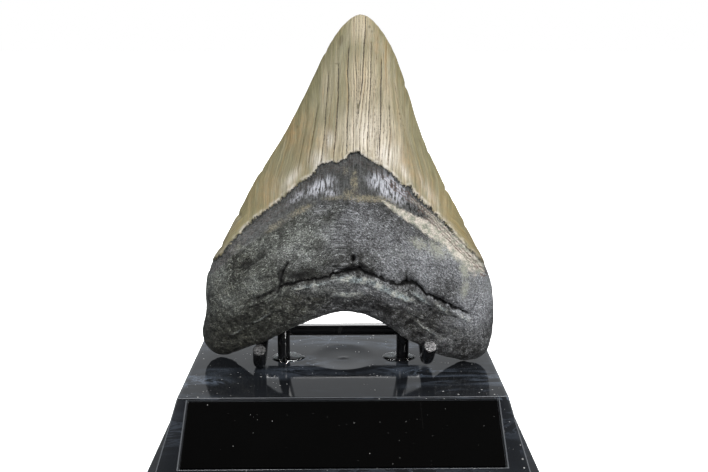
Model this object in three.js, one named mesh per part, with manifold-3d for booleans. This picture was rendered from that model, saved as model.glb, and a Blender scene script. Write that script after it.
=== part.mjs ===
// Fossil shark tooth on its display stand: a gloss base with a sloped front and a bare nameplate,
// a bent wire cradle under the root and two bent wires behind it. Millimetres, +Z up.
// The origin is the middle of the base's underside, and the nameplate faces -Y.
import * as THREE from 'three';
import { ConvexGeometry } from 'three/addons/geometries/ConvexGeometry.js';
import { mergeVertices } from 'three/addons/utils/BufferGeometryUtils.js';
import Module from 'manifold-3d';

const wasm = await Module();
wasm.setup();

const { degToRad, lerp, smoothstep } = THREE.MathUtils;

// Clearance kept between pieces that touch
const GAP = 0.3;

// Base
const TOP_WIDTH = 109.7;
const TOP_DEPTH = 58;
const BODY_HEIGHT = 17;
const FRONT_LEAN = degToRad(52);
const SIDE_LEAN = degToRad(12.6);
const FOOT_HEIGHT = 6;
const FOOT_STEP = 3.5;
const FOOT_DRAFT = 0.4;

// Nameplate and the shallow recess that holds it
const PLATE_WIDTH = 101.6;
const PLATE_HEIGHT = 22.2;
const PLATE_THICKNESS = 0.8;
const PLATE_TOP_EDGE = 1.2;
const RECESS_MARGIN = 0.5;

// Wires, with heights measured from the base top and depths from its front edge
const WIRE_RADIUS = 2.1;
const WIRE_SIDES = 10;
const WIRE_STEP = 2.4;
const CRADLE_BEND = 4.5;
const BACK_BEND = 5;
const PRONG_X = 30;
const BAR_DEPTH = 38.5;
const BAR_HEIGHT = 8.6;
const POST_X = 22;
const POST_DEPTH = 32.6;
const HOLE_DEPTH = 8;
const HOLE_SIDES = 16;

// Glue bead round the foot of each back wire
const BEAD_RADIUS = 6.2;
const BEAD_HEIGHT = 0.9;
const BEAD_SEGMENTS = 20;

// Tooth: its place on the base, and its pose
const TOOTH_DEPTH = 31.5;
const TOOTH_LEAN = degToRad(6);
const TOOTH_TURN = degToRad(3.5);

// Rim of the tooth from the tip down its right edge and round: across, forward or back, up
const TOOTH_RIM = [
  [6, 0, 123.5], [11, 0, 120], [16.5, 0, 112], [22, 0, 98], [27.6, 0, 81.5],
  [35.7, 0, 64.7], [45, 0, 47.5], [51.2, 0, 36], [54.3, 0, 26.5], [54.4, 0, 10],
  [52.4, 0, 2.4], [47, 0, 0], [40.7, -1, 0.6], [33.4, -5, 3.8], [26, -8, 8.3],
  [18.9, -8, 12.7], [12.5, -8, 16.7], [6, -8, 19.3], [0, -8, 19.7], [-5.5, -8, 18.4],
  [-11, -8, 16.2], [-20.7, -8, 11.9], [-26.8, -8, 8.1], [-33, -5, 5.4], [-41, -1, 1.2],
  [-46.8, 0, 0], [-51, 0, 3.2], [-52.6, 0, 8.7], [-50.8, 0, 18], [-50.9, 0, 25],
  [-49.5, 0, 33], [-44.5, 0, 42], [-37.2, 0, 55.3], [-32.7, 0, 64], [-21.7, 0, 81.2],
  [-12.7, 0, 98], [-6.5, 0, 110.5], [0.6, 0, 120.5],
];
const RIM_SAMPLES = 128;
const RINGS = 12;
const RING_CROWDING = 1.5;

// Middle of the root, from which the tooth's rings spread
const ROOT_MIDDLE = new THREE.Vector2(1, 38);

// How far the inner and outer faces stand off the rim's plane at heights up the tooth
const INNER_DEPTH = [
  [0, 9], [12, 13], [24, 18.5], [36, 20], [46, 16.8], [56, 12.4], [66, 10.2], [82, 8.8],
  [100, 6.4], [114, 3.8], [123.5, 1.5],
];
const OUTER_DEPTH = [[0, 5], [20, 7], [42, 7], [66, 5.4], [90, 4], [114, 2], [123.5, 1]];

// Rounding of the faces into the rim: on the root, on its lobes, and on the blade from its tip down
const ROOT_ROUNDING = 15;
const LOBE_ROUNDING = 8.5;
const TIP_ROUNDING = 4;
const BLADE_ROUNDING = 0.5;
const ROOT_FULLNESS = 0.5;
const UNDERSIDE_FULLNESS = 0.85;
const BLADE_FULLNESS = 0.85;
const ROOT_TOP = 44;
const BLADE_FOOT = 62;
const LOBE_START = 30;
const LOBE_END = 47;
const LOBE_THINNING = 0.34;

// Derived sizes
const BASE_HEIGHT = BODY_HEIGHT + FOOT_HEIGHT;
const FRONT_RUN = BODY_HEIGHT * Math.tan(FRONT_LEAN);
const SIDE_RUN = BODY_HEIGHT * Math.tan(SIDE_LEAN);
const FOOT_DEPTH = FRONT_RUN + TOP_DEPTH + SIDE_RUN + 2 * FOOT_STEP;
const FRONT_EDGE_Y = FRONT_RUN + FOOT_STEP - FOOT_DEPTH / 2;
const TIP_HEIGHT = TOOTH_RIM[0][2];
const innerDepth = smoothDepths(INNER_DEPTH);
const outerDepth = smoothDepths(OUTER_DEPTH);

// Finishes
const fossil = new THREE.MeshStandardMaterial({ color: '#8a8577', roughness: 0.55, metalness: 0 });
const glossPlastic = new THREE.MeshStandardMaterial({ color: '#1a1b1e', roughness: 0.18, metalness: 0 });
const platePlastic = new THREE.MeshStandardMaterial({ color: '#0b0b0c', roughness: 0.3, metalness: 0 });
const coatedWire = new THREE.MeshStandardMaterial({ color: '#121315', roughness: 0.28, metalness: 0 });
const clearGlue = new THREE.MeshStandardMaterial({ color: '#9aa09c', roughness: 0.15, metalness: 0 });

// A place on the base, from its distance behind the top's front edge and its height above the top
function onBase(x, depth, height) {
  return new THREE.Vector3(x, FRONT_EDGE_Y + depth, BASE_HEIGHT + height);
}

// A named mesh with a finish of its own
function piece(name, geometry, material) {
  const mesh = new THREE.Mesh(geometry, material.clone());
  mesh.name = name;
  return mesh;
}

// A closed geometry as a solid that can be joined and cut
function toSolid(geometry) {
  const bare = geometry.clone();
  bare.deleteAttribute('normal');
  bare.deleteAttribute('uv');
  const merged = mergeVertices(bare);
  return new wasm.Manifold(new wasm.Mesh({
    numProp: 3,
    vertProperties: new Float32Array(merged.attributes.position.array),
    triVerts: new Uint32Array(merged.index.array),
  }));
}

// A solid as a geometry again
function toGeometry(solid) {
  const mesh = solid.getMesh();
  const geometry = new THREE.BufferGeometry();
  geometry.setAttribute('position', new THREE.BufferAttribute(mesh.vertProperties, 3));
  geometry.setIndex(new THREE.BufferAttribute(mesh.triVerts, 1));
  geometry.computeVertexNormals();
  return geometry;
}

// A block whose top and bottom are level rectangles: half width, front y, back y and height of each
function taperedBlock(bottom, top) {
  const corners = [];
  for (const { half, front, back, z } of [bottom, top]) {
    for (const x of [-half, half]) {
      corners.push(new THREE.Vector3(x, front, z), new THREE.Vector3(x, back, z));
    }
  }
  return new ConvexGeometry(corners);
}

// A smooth curve through a list of heights and depths
function smoothDepths(list) {
  return new THREE.CubicInterpolant(list.map(([z]) => z), list.map(([, depth]) => depth), 1);
}

// Distance from a point of the tooth's face to the nearest stretch of the rim, and the rim's y there
function nearestRim(point, rim) {
  let best = Infinity;
  let y = 0;
  for (let i = 0; i < rim.length; i++) {
    const a = rim[i];
    const b = rim[(i + 1) % rim.length];
    const edge = new THREE.Vector2(b.x - a.x, b.z - a.z);
    const reach = new THREE.Vector2(point.x - a.x, point.y - a.z);
    const along = THREE.MathUtils.clamp(reach.dot(edge) / edge.lengthSq(), 0, 1);
    const distance = reach.sub(edge.multiplyScalar(along)).length();
    if (distance < best) {
      best = distance;
      y = lerp(a.y, b.y, along);
    }
  }
  return { distance: best, y };
}

// Where a face of the tooth lies: side is -1 for the inner face and 1 for the outer one
function faceY(point, rim, side) {
  const height = point.y;
  const { distance, y } = nearestRim(point, rim);
  const blade = smoothstep(height, ROOT_TOP, BLADE_FOOT);
  const aside = Math.abs(point.x - ROOT_MIDDLE.x);
  const lobe = smoothstep(aside, LOBE_START, LOBE_END);
  const rootRounding = lerp(ROOT_ROUNDING, LOBE_ROUNDING, lobe);
  const bladeRounding = TIP_ROUNDING + BLADE_ROUNDING * (TIP_HEIGHT - height);
  const rounding = lerp(rootRounding, bladeRounding, blade);
  const rootFullness = side < 0 ? ROOT_FULLNESS : lerp(UNDERSIDE_FULLNESS, ROOT_FULLNESS, lobe);
  const fullness = lerp(rootFullness, BLADE_FULLNESS, blade);
  const inward = Math.min(distance / rounding, 1);
  const rise = (1 - (1 - inward) ** 2) ** fullness;
  const thinning = 1 - LOBE_THINNING * (1 - blade) * Math.min(aside / LOBE_END, 1) ** 2;
  const [depth] = (side < 0 ? innerDepth : outerDepth).evaluate(height);
  const full = side * depth * thinning;
  return lerp(y, full, rise);
}

// Tooth: rings of points spread from the middle of the root to the rim, on both faces
function toothGeometry() {
  const curve = new THREE.CatmullRomCurve3(TOOTH_RIM.map((p) => new THREE.Vector3(...p)), true);
  const rim = curve.getSpacedPoints(RIM_SAMPLES).slice(0, RIM_SAMPLES);
  const positions = [];
  const index = [];
  for (const side of [-1, 1]) {
    positions.push(ROOT_MIDDLE.x, faceY(ROOT_MIDDLE, rim, side), ROOT_MIDDLE.y);
    for (let ring = 1; ring < RINGS; ring++) {
      const spread = 1 - (1 - ring / RINGS) ** RING_CROWDING;
      for (const edge of rim) {
        const point = ROOT_MIDDLE.clone().lerp(new THREE.Vector2(edge.x, edge.z), spread);
        positions.push(point.x, faceY(point, rim, side), point.y);
      }
    }
  }
  const faceSize = 1 + (RINGS - 1) * RIM_SAMPLES;
  const rimStart = 2 * faceSize;
  for (const edge of rim) positions.push(edge.x, edge.y, edge.z);

  const addTriangle = (side, a, b, c) => index.push(...(side < 0 ? [a, c, b] : [a, b, c]));
  for (const side of [-1, 1]) {
    const first = side < 0 ? 0 : faceSize;
    const vertex = (ring, k) => {
      const turn = k % RIM_SAMPLES;
      return ring === RINGS ? rimStart + turn : first + 1 + (ring - 1) * RIM_SAMPLES + turn;
    };
    for (let k = 0; k < RIM_SAMPLES; k++) {
      addTriangle(side, first, vertex(1, k), vertex(1, k + 1));
      for (let ring = 1; ring < RINGS; ring++) {
        addTriangle(side, vertex(ring, k), vertex(ring + 1, k), vertex(ring + 1, k + 1));
        addTriangle(side, vertex(ring, k), vertex(ring + 1, k + 1), vertex(ring, k + 1));
      }
    }
  }
  const geometry = new THREE.BufferGeometry();
  geometry.setAttribute('position', new THREE.Float32BufferAttribute(positions, 3));
  geometry.setIndex(index);
  geometry.computeVertexNormals();
  return geometry;
}

// Base: a body with a sloped front on a wider foot, a recess for the plate and two blind wire holes
function baseGeometry(slope) {
  const top = { half: TOP_WIDTH / 2, front: FRONT_EDGE_Y, back: FRONT_EDGE_Y + TOP_DEPTH, z: BASE_HEIGHT };
  const bodyFoot = {
    half: top.half + SIDE_RUN,
    front: top.front - FRONT_RUN,
    back: top.back + SIDE_RUN,
    z: FOOT_HEIGHT,
  };
  const footAt = (step, z) => ({
    half: bodyFoot.half + step,
    front: bodyFoot.front - step,
    back: bodyFoot.back + step,
    z,
  });
  const body = toSolid(taperedBlock(bodyFoot, top));
  const foot = toSolid(taperedBlock(footAt(FOOT_STEP, 0), footAt(FOOT_STEP - FOOT_DRAFT, FOOT_HEIGHT)));

  const recessDepth = PLATE_THICKNESS + GAP;
  const recess = new THREE.BoxGeometry(
    PLATE_WIDTH + 2 * RECESS_MARGIN,
    PLATE_HEIGHT + 2 * RECESS_MARGIN,
    2 * recessDepth,
  );
  recess.translate(0, -PLATE_TOP_EDGE - PLATE_HEIGHT / 2, 0);
  recess.applyMatrix4(slope.matrixWorld);

  let solid = body.add(foot).subtract(toSolid(recess));
  const holeRadius = (WIRE_RADIUS + GAP) / Math.cos(Math.PI / HOLE_SIDES);
  for (const x of [-POST_X, POST_X]) {
    const hole = new THREE.CylinderGeometry(holeRadius, holeRadius, 2 * HOLE_DEPTH, HOLE_SIDES);
    hole.rotateX(Math.PI / 2);
    hole.translate(...onBase(x, POST_DEPTH, 0));
    solid = solid.subtract(toSolid(hole));
  }
  return toGeometry(solid);
}

// Round wire along straight runs joined by bends
function bentWire(corners, bend) {
  const path = new THREE.CurvePath();
  let from = corners[0];
  for (let i = 1; i < corners.length - 1; i++) {
    const corner = corners[i];
    const before = corner.clone().sub(corners[i - 1]);
    const after = corners[i + 1].clone().sub(corner);
    const start = corner.clone().sub(before.setLength(Math.min(bend, before.length() / 2)));
    const end = corner.clone().add(after.setLength(Math.min(bend, after.length() / 2)));
    path.add(new THREE.LineCurve3(from, start));
    path.add(new THREE.QuadraticBezierCurve3(start, corner, end));
    from = end;
  }
  path.add(new THREE.LineCurve3(from, corners[corners.length - 1]));
  const section = new THREE.Shape().absarc(0, 0, WIRE_RADIUS, 0, 2 * Math.PI);
  return new THREE.ExtrudeGeometry(section, {
    extrudePath: path,
    steps: Math.round(path.getLength() / WIRE_STEP),
    curveSegments: WIRE_SIDES / 2,
  });
}

// Cradle: a bar across the back, a leg each side running forward under the root, and upturned prongs
function cradleGeometry() {
  const prong = (side, lift) => [
    onBase(side * (PRONG_X - 0.8), 17.6, 9.6 + lift),
    onBase(side * PRONG_X, 22.6, 2 + lift),
    onBase(side * PRONG_X, 27.6, 2.6 + lift),
    onBase(side * PRONG_X, BAR_DEPTH, BAR_HEIGHT),
  ];
  return bentWire([...prong(-1, -0.15), ...prong(1, 1.05).reverse()], CRADLE_BEND);
}

// Back wire: up out of the base, back under the root's edge, then up behind the tooth
function backWireGeometry(side) {
  const nearer = side * POST_X * Math.tan(TOOTH_TURN);
  return bentWire([
    onBase(side * POST_X, POST_DEPTH, GAP - HOLE_DEPTH),
    onBase(side * POST_X, POST_DEPTH, 9.6),
    onBase(side * (POST_X - 0.6), 43.15 - nearer, 21.4),
    onBase(side * (POST_X - 3), 46.6 - nearer, 58),
  ], BACK_BEND);
}

// Glue bead: a low rounded ring on the base top round a back wire
function beadGeometry() {
  const inner = WIRE_RADIUS + GAP;
  const middle = lerp(inner, BEAD_RADIUS, 0.45);
  const profile = [
    [inner, GAP], [BEAD_RADIUS, GAP], [lerp(middle, BEAD_RADIUS, 0.6), GAP + BEAD_HEIGHT * 0.45],
    [middle, GAP + BEAD_HEIGHT * 0.7], [inner, GAP + BEAD_HEIGHT], [inner, GAP],
  ];
  const bead = new THREE.LatheGeometry(profile.map((p) => new THREE.Vector2(...p)), BEAD_SEGMENTS);
  bead.rotateX(Math.PI / 2);
  return bead;
}

// Assembly
const model = new THREE.Group();

const slope = new THREE.Group();
slope.position.copy(onBase(0, 0, 0));
slope.rotation.x = Math.PI / 2 - FRONT_LEAN;
slope.updateMatrixWorld();
model.add(slope);

model.add(piece('base', baseGeometry(slope), glossPlastic));

const plateBlank = new THREE.BoxGeometry(PLATE_WIDTH, PLATE_HEIGHT, PLATE_THICKNESS);
const plate = piece('nameplate', plateBlank, platePlastic);
plate.position.set(0, -PLATE_TOP_EDGE - PLATE_HEIGHT / 2, -PLATE_THICKNESS / 2);
slope.add(plate);

const toothPlace = new THREE.Group();
toothPlace.position.copy(onBase(0, TOOTH_DEPTH, GAP));
toothPlace.rotation.z = -TOOTH_TURN;
const tooth = piece('tooth', toothGeometry(), fossil);
tooth.rotation.x = -TOOTH_LEAN;
toothPlace.add(tooth);
model.add(toothPlace);

model.add(piece('cradle_wire', cradleGeometry(), coatedWire));
for (const [hand, side] of [['left', -1], ['right', 1]]) {
  model.add(piece(`${hand}_back_wire`, backWireGeometry(side), coatedWire));
  const bead = piece(`${hand}_glue_bead`, beadGeometry(), clearGlue);
  bead.position.copy(onBase(side * POST_X, POST_DEPTH, 0));
  model.add(bead);
}

export default model;
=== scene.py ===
"""Fossil tooth on its display stand: the finished surfaces, the studio and the camera.

Each operator dresses one piece, or one group of like pieces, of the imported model.
"""
import math

import bmesh
import bpy
import numpy as np
from bpy.props import FloatProperty, FloatVectorProperty, PointerProperty
from mathutils import Matrix, Vector, kdtree, noise


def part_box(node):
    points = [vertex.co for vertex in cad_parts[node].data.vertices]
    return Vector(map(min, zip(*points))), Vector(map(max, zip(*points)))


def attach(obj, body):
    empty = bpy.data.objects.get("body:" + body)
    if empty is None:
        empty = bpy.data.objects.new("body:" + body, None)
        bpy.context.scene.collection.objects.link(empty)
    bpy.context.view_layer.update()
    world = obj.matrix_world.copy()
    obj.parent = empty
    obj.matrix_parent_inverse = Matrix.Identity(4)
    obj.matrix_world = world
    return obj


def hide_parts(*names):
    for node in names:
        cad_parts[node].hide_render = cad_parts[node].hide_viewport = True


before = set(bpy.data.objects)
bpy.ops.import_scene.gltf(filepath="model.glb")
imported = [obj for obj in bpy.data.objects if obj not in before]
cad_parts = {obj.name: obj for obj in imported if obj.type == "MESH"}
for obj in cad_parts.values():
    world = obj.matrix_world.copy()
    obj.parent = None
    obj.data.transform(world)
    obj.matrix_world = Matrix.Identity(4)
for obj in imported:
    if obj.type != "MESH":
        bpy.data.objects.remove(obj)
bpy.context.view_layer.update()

bl_info = {
    "name": "Fossil Tooth Display",
    "version": (1, 0, 0),
    "blender": (4, 5, 0),
    "location": "View3D > Sidebar > Fossil",
    "description": "Models and finishes a fossil tooth, its stand and the studio around them",
    "category": "Object",
}

MM = 0.001

# The boxes of the base and the tooth, taken from the frame
base_low, base_high = (Vector(corner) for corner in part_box("base"))
tooth_low, tooth_high = (Vector(corner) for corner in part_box("tooth"))
TOP_Z = base_high.z

# Corners closer than this are one corner
WELD = 1e-6
# Roundings, gaps and depths too small to be settings
PLATE_ROUND = 0.14 * MM
CUT_ROUND = 0.22 * MM
HOLE_GAP = 0.3 * MM
HOLE_DEPTH = 8 * MM
GATE_RADIUS = 0.9 * MM
# Size of the dust specks' cells
SPECK_SIZE = 0.0012


# Sizes and colours

def length(name, description, millimetres):
    """A length that a user may change, given in millimetres and kept in metres."""
    return FloatProperty(
        name=name, description=description, default=millimetres * MM, unit="LENGTH", precision=5)


def angle(name, description, degrees):
    """An angle that a user may change, given in degrees and kept in radians."""
    return FloatProperty(name=name, description=description, default=math.radians(degrees), unit="ROTATION")


def colour(name, description, red, green, blue):
    """A colour that a user may change, in linear light."""
    return FloatVectorProperty(
        name=name, description=description, default=(red, green, blue),
        subtype="COLOR", size=3, min=0.0, max=1.0)


def amount(name, description, value):
    """A plain number that a user may change."""
    return FloatProperty(name=name, description=description, default=value)


class ToothSettings(bpy.types.PropertyGroup):
    """Pose, relief and colours of the tooth."""
    lean: angle("Lean", "How far the tooth leans back", 6.0)
    turn: angle("Turn", "How far the tooth's right side is turned towards the viewer", 3.5)
    depth: length("Depth", "Distance of the tooth's plane behind the base top's front edge", 31.5)
    lift: length("Lift", "Gap between the lobes and the base top", 0.3)
    grain: length("Mesh grain", "Edge length of the finished surface", 0.43)
    rim_reach: length("Rim reach", "Width of the strip that is drawn out to each cutting edge", 1.3)
    enamel_step: length("Enamel step", "How far the enamel's edge stands above the root", 0.42)
    crack_depth: length("Crack depth", "Depth of the long cracks in the enamel", 0.22)
    fissure_depth: length("Fissure depth", "Depth of the cleft across the root", 2.8)
    enamel_middle: colour("Enamel middle", "Pale enamel in the middle of the blade", 0.345, 0.3, 0.212)
    enamel_side: colour("Enamel side", "Olive enamel towards the edges", 0.15, 0.138, 0.077)
    enamel_stain: colour("Enamel stain", "Rusty stain in the enamel", 0.27, 0.165, 0.065)
    enamel_bloom: colour("Enamel bloom", "White bloom above the dark band", 0.66, 0.63, 0.60)
    enamel_rim: colour("Enamel rim", "Olive brown of the cutting edges", 0.12, 0.095, 0.040)
    enamel_spot: colour("Enamel spot", "Dark olive spots", 0.10, 0.085, 0.045)
    crack_fill: colour("Crack fill", "Dark fill of the cracks", 0.045, 0.034, 0.024)
    band_dark: colour("Band dark", "Dark band below the enamel", 0.042, 0.042, 0.040)
    band_frost: colour("Band frost", "Grey bloom on the dark band", 0.46, 0.47, 0.51)
    band_gold: colour("Band gold", "Golden deposit on the dark band", 0.25, 0.222, 0.15)
    cream: colour("Cream", "Cream deposit along the band's lower edge", 0.62, 0.56, 0.49)
    band_line: colour("Band line", "Fine red-brown lines along the enamel", 0.10, 0.062, 0.05)
    cream_green: colour("Cream green", "Greenish part of the cream deposit", 0.33, 0.34, 0.27)
    root_dark: colour("Root dark", "Darkest root surface", 0.0185, 0.0185, 0.0168)
    root_light: colour("Root light", "Lightest root surface", 0.172, 0.182, 0.184)
    # Painted glints: the pale flecks stand in for light sparkling on the root's grain
    root_glint: colour("Root glint", "Pale flecks in the root", 0.4, 0.425, 0.42)
    root_violet: colour("Root violet", "Cooler drift of the root's colour", 0.495, 0.483, 0.508)
    root_olive: colour("Root olive", "Warmer drift of the root's colour", 0.5, 0.503, 0.462)
    root_brown: colour("Root brown", "Brown tint on the root's flanks", 0.056, 0.053, 0.034)
    lip_edge: colour("Lip edge", "Chalky edge of the lip below the cleft", 0.44, 0.45, 0.41)
    cleft_lip: colour("Cleft lip", "Pale lip below the cleft", 0.34, 0.40, 0.41)
    # Painted shade: near-black for the insides of clefts, pits and root cracks and for the shadow along the
    # enamel's edge; also used for the black strokes and the crumbled ledges
    cleft_shade_black: colour("Cleft dark", "Darkness of clefts and pits", 0.003, 0.003, 0.003)


class StandSettings(bpy.types.PropertyGroup):
    """Sizes and colours of the base, plate, wires and glue."""
    foot_height: length("Foot height", "Height of the wider foot", 6.0)
    foot_step: length("Foot step", "How far the foot stands out from the body", 3.5)
    foot_draft: length("Foot draft", "How far the foot narrows towards its top", 0.4)
    top_width: length("Top width", "Width of the base's top", 109.7)
    top_depth: length("Top depth", "Depth of the base's top", 58.0)
    front_lean: angle("Front lean", "Lean of the front slope from upright", 52.0)
    edge_round: length("Edge round", "Rounding of the base's edges", 0.34)
    plate_width: length("Plate width", "Width of the nameplate", 101.6)
    plate_height: length("Plate height", "Height of the nameplate along the slope", 22.2)
    plate_thickness: length("Plate thickness", "Thickness of the nameplate", 0.8)
    plate_top_edge: length("Plate top edge", "Distance from the base's top edge to the plate", 1.2)
    plate_gap: length("Plate gap", "Gap behind the plate", 0.3)
    recess_margin: length("Recess margin", "Gap round the plate in its recess", 0.5)
    dish_radius: length("Dish radius", "Radius of the moulding dish in the top", 12.2)
    dish_depth: length("Dish depth", "Depth of the moulding dish", 0.3)
    wire_radius: length("Wire radius", "Radius of the coated wire", 2.3)
    post_across: length("Post across", "Distance of each back wire's foot from the middle", 22.0)
    post_depth: length("Post depth", "Distance of the back wires' feet behind the front edge", 32.6)
    prong_across: length("Prong across", "Distance of each prong from the middle", 30.0)
    bar_depth: length("Bar depth", "Distance of the cradle's bar behind the front edge", 38.5)
    bar_height: length("Bar height", "Height of the cradle's bar above the top", 8.6)
    plastic: colour("Plastic", "Moulded base", 0.0065, 0.0073, 0.0088)
    wisp: colour("Wisp", "Wisps in the moulded base", 0.07, 0.085, 0.11)
    # Painted highlight: a paler tint on the base's rounded edges stands in for the light that they catch
    edge_highlight: colour("Edge highlight", "Lightly worn edges of the base", 0.05, 0.054, 0.06)
    plate_black: colour("Plate black", "Face of the nameplate", 0.0013, 0.0013, 0.0013)
    wire_black: colour("Wire black", "Coating of the wires", 0.004, 0.004, 0.0045)
    cut_metal: colour("Cut metal", "Bare metal of the cut wire ends", 0.55, 0.55, 0.56)
    glue_dull: colour("Glue dull", "Duller parts of the glue", 0.45, 0.52, 0.53)
    glue_clear: colour("Glue clear", "Clearer parts of the glue", 0.7, 0.74, 0.74)
    dust: colour("Dust", "Dust on the stand", 0.32, 0.32, 0.31)


class StageSettings(bpy.types.PropertyGroup):
    """Camera, lights and floor."""
    camera_across: length("Camera across", "Camera's distance to the right of the middle", 0.7)
    camera_distance: length("Camera distance", "Camera's distance in front of the base's top", 225.9)
    camera_height: length("Camera height", "Camera's height above the base top", 114.6)
    camera_pitch: angle("Camera pitch", "How far the camera looks down", 14.75)
    camera_turn: angle("Camera turn", "How far the camera looks to the right", 0.73)
    lens: amount("Lens", "Focal length for a 36 mm sensor", 38.14)
    floor_glow: amount("Floor glow", "Light added to the pale floor where the camera sees it", 0.8)
    floor_bounce: colour("Floor bounce", "Tone of the floor as the display sees it", 0.45, 0.45, 0.46)
    floor_mirrored: colour("Floor mirrored", "Floor as polished surfaces mirror it", 0.03, 0.034, 0.04)
    sky_tint: colour("Sky tint", "Tone of the light from all round", 0.94, 0.97, 1.0)
    floor_tone: colour("Floor tone", "Pale floor", 0.9, 0.9, 0.9)


# Helpers for modelling

def on_base(across, depth, height):
    """A place from its distance behind the base top's front edge and its height above the top."""
    return Vector((across, front_edge_y() + depth, TOP_Z + height))


def front_edge_y():
    """The y of the base top's front edge."""
    stand = bpy.context.scene.fossil_stand
    run = (TOP_Z - stand.foot_height) * math.tan(stand.front_lean)
    return base_low.y + stand.foot_step + run


def start_clean():
    """Leaves edit mode and deselects everything."""
    if bpy.context.mode != "OBJECT":
        bpy.ops.object.mode_set(mode="OBJECT")
    bpy.ops.object.select_all(action="DESELECT")


def take(piece):
    """Makes a piece the only selected and active object."""
    start_clean()
    piece.select_set(True)
    bpy.context.view_layer.objects.active = piece


def name_active(name):
    """Names the newly added object and its mesh, and applies its place."""
    piece = bpy.context.object
    piece.name = name
    piece.data.name = name
    bpy.ops.object.transform_apply(location=True, rotation=True, scale=True)
    return piece


def weld(outwards=False):
    """Merges the active mesh's corners that lie on each other, and may turn its faces outwards."""
    bpy.ops.object.mode_set(mode="EDIT")
    bpy.ops.mesh.select_all(action="SELECT")
    bpy.ops.mesh.remove_doubles(threshold=WELD)
    if outwards:
        bpy.ops.mesh.normals_make_consistent(inside=False)
    bpy.ops.object.mode_set(mode="OBJECT")


def shade(piece, degrees):
    """Smooth shading, except at edges sharper than an angle."""
    take(piece)
    bpy.ops.object.shade_smooth_by_angle(angle=math.radians(degrees))


def copy_of_node(node, name):
    """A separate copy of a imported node's mesh, with its loose triangles merged."""
    piece = bpy.data.objects.new(name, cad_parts[node].data.copy())
    bpy.context.collection.objects.link(piece)
    piece.data.name = name
    piece.data.materials.clear()
    take(piece)
    weld()
    return piece


def apply_modifier(piece, kind, **settings):
    """Adds a modifier with its settings and applies it."""
    take(piece)
    modifier = piece.modifiers.new(kind.title(), kind)
    for key, value in settings.items():
        setattr(modifier, key, value)
    bpy.ops.object.modifier_apply(modifier=modifier.name)


def pick_faces(piece, test):
    """In edit mode, selects just the faces that pass a test on centre and normal."""
    bpy.ops.mesh.select_mode(type="FACE")
    bpy.ops.mesh.select_all(action="DESELECT")
    sheet = bmesh.from_edit_mesh(piece.data)
    picked = [face for face in sheet.faces if test(face.calc_center_median(), face.normal)]
    if not picked:
        raise RuntimeError(f"no face to pick on {piece.name}")
    for face in picked:
        face.select_set(True)
    bmesh.update_edit_mesh(piece.data)


def finish_piece(piece, material, slot, *nodes):
    """Gives a piece its material and its body, and hides the imported nodes that it stands for. The slot
    argument is not used.
    """
    if not piece.data.materials:
        piece.data.materials.append(material)
    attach(piece, "root")
    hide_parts(*nodes)


# Helpers for materials

class NodeSheet:
    """Adds nodes to a tree. A socket that is given as a value is linked, and anything else is set."""

    def __init__(self, tree):
        self.tree = tree

    def add(self, kind, inputs=None, **settings):
        node = self.tree.nodes.new(kind)
        for key, value in settings.items():
            setattr(node, key, value)
        self.fill(node, inputs or {})
        return node

    def fill(self, node, inputs):
        for key, value in inputs.items():
            self.give(node.inputs[key], value)

    def give(self, socket, value):
        if isinstance(value, bpy.types.NodeSocket):
            self.tree.links.new(value, socket)
        elif socket.type == "RGBA" and len(value) == 3:
            socket.default_value = (*value, 1.0)
        else:
            socket.default_value = value

    def math(self, operation, first, second=0.0, third=0.0, clamp=False):
        inputs = {0: first, 1: second, 2: third}
        return self.add("ShaderNodeMath", inputs, operation=operation, use_clamp=clamp).outputs[0]

    def times(self, first, second):
        return self.math("MULTIPLY", first, second)

    def plus(self, first, second):
        return self.math("ADD", first, second)

    def minus(self, first, second):
        return self.math("SUBTRACT", first, second)

    def scaled(self, value, gain, offset):
        return self.math("MULTIPLY_ADD", value, gain, offset)

    def mix(self, factor, first, second, blend="MIX"):
        inputs = {0: factor, 6: first, 7: second}
        return self.add("ShaderNodeMix", inputs, data_type="RGBA", blend_type=blend).outputs[2]

    def rise(self, value, low, high, bottom=0.0, top=1.0):
        inputs = {"Value": value, "From Min": low, "From Max": high, "To Min": bottom, "To Max": top}
        return self.add("ShaderNodeMapRange", inputs, interpolation_type="SMOOTHSTEP").outputs[0]

    def grain(self, place, size, detail=3.0, roughness=0.55, distortion=0.0):
        """Noise from 0 to 1 whose lumps are about one size across, in the units of place."""
        inputs = {
            "Vector": place, "Scale": 1.0 / size, "Detail": detail,
            "Roughness": roughness, "Distortion": distortion,
        }
        return self.add("ShaderNodeTexNoise", inputs).outputs[0]

    def cells(self, place, size, randomness=1.0):
        """Distance to the nearest of scattered points, about one size apart."""
        inputs = {"Vector": place, "Scale": 1.0 / size, "Randomness": randomness}
        return self.add("ShaderNodeTexVoronoi", inputs, feature="F1").outputs["Distance"]

    def stretch(self, place, scale):
        return self.add("ShaderNodeMapping", {"Vector": place, "Scale": scale}).outputs[0]

    def attribute(self, name, output="Fac"):
        return self.add("ShaderNodeAttribute", attribute_name=name).outputs[output]

    def object_place(self):
        return self.add("ShaderNodeTexCoord").outputs["Object"]

    def part(self, place, axis):
        return self.add("ShaderNodeSeparateXYZ", {"Vector": place}).outputs[axis]

    def join(self, across, deep, up):
        return self.add("ShaderNodeCombineXYZ", {0: across, 1: deep, 2: up}).outputs[0]

    def bump(self, height, strength, distance):
        inputs = {"Strength": strength, "Distance": distance, "Height": height}
        return self.add("ShaderNodeBump", inputs).outputs[0]


def new_material(name):
    """An empty material with a Principled BSDF on its output."""
    material = bpy.data.materials.new(name)
    material.use_nodes = True
    tree = material.node_tree
    tree.nodes.clear()
    sheet = NodeSheet(tree)
    shader = sheet.add("ShaderNodeBsdfPrincipled")
    sheet.add("ShaderNodeOutputMaterial", {"Surface": shader.outputs[0]})
    return material, sheet, shader


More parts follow.
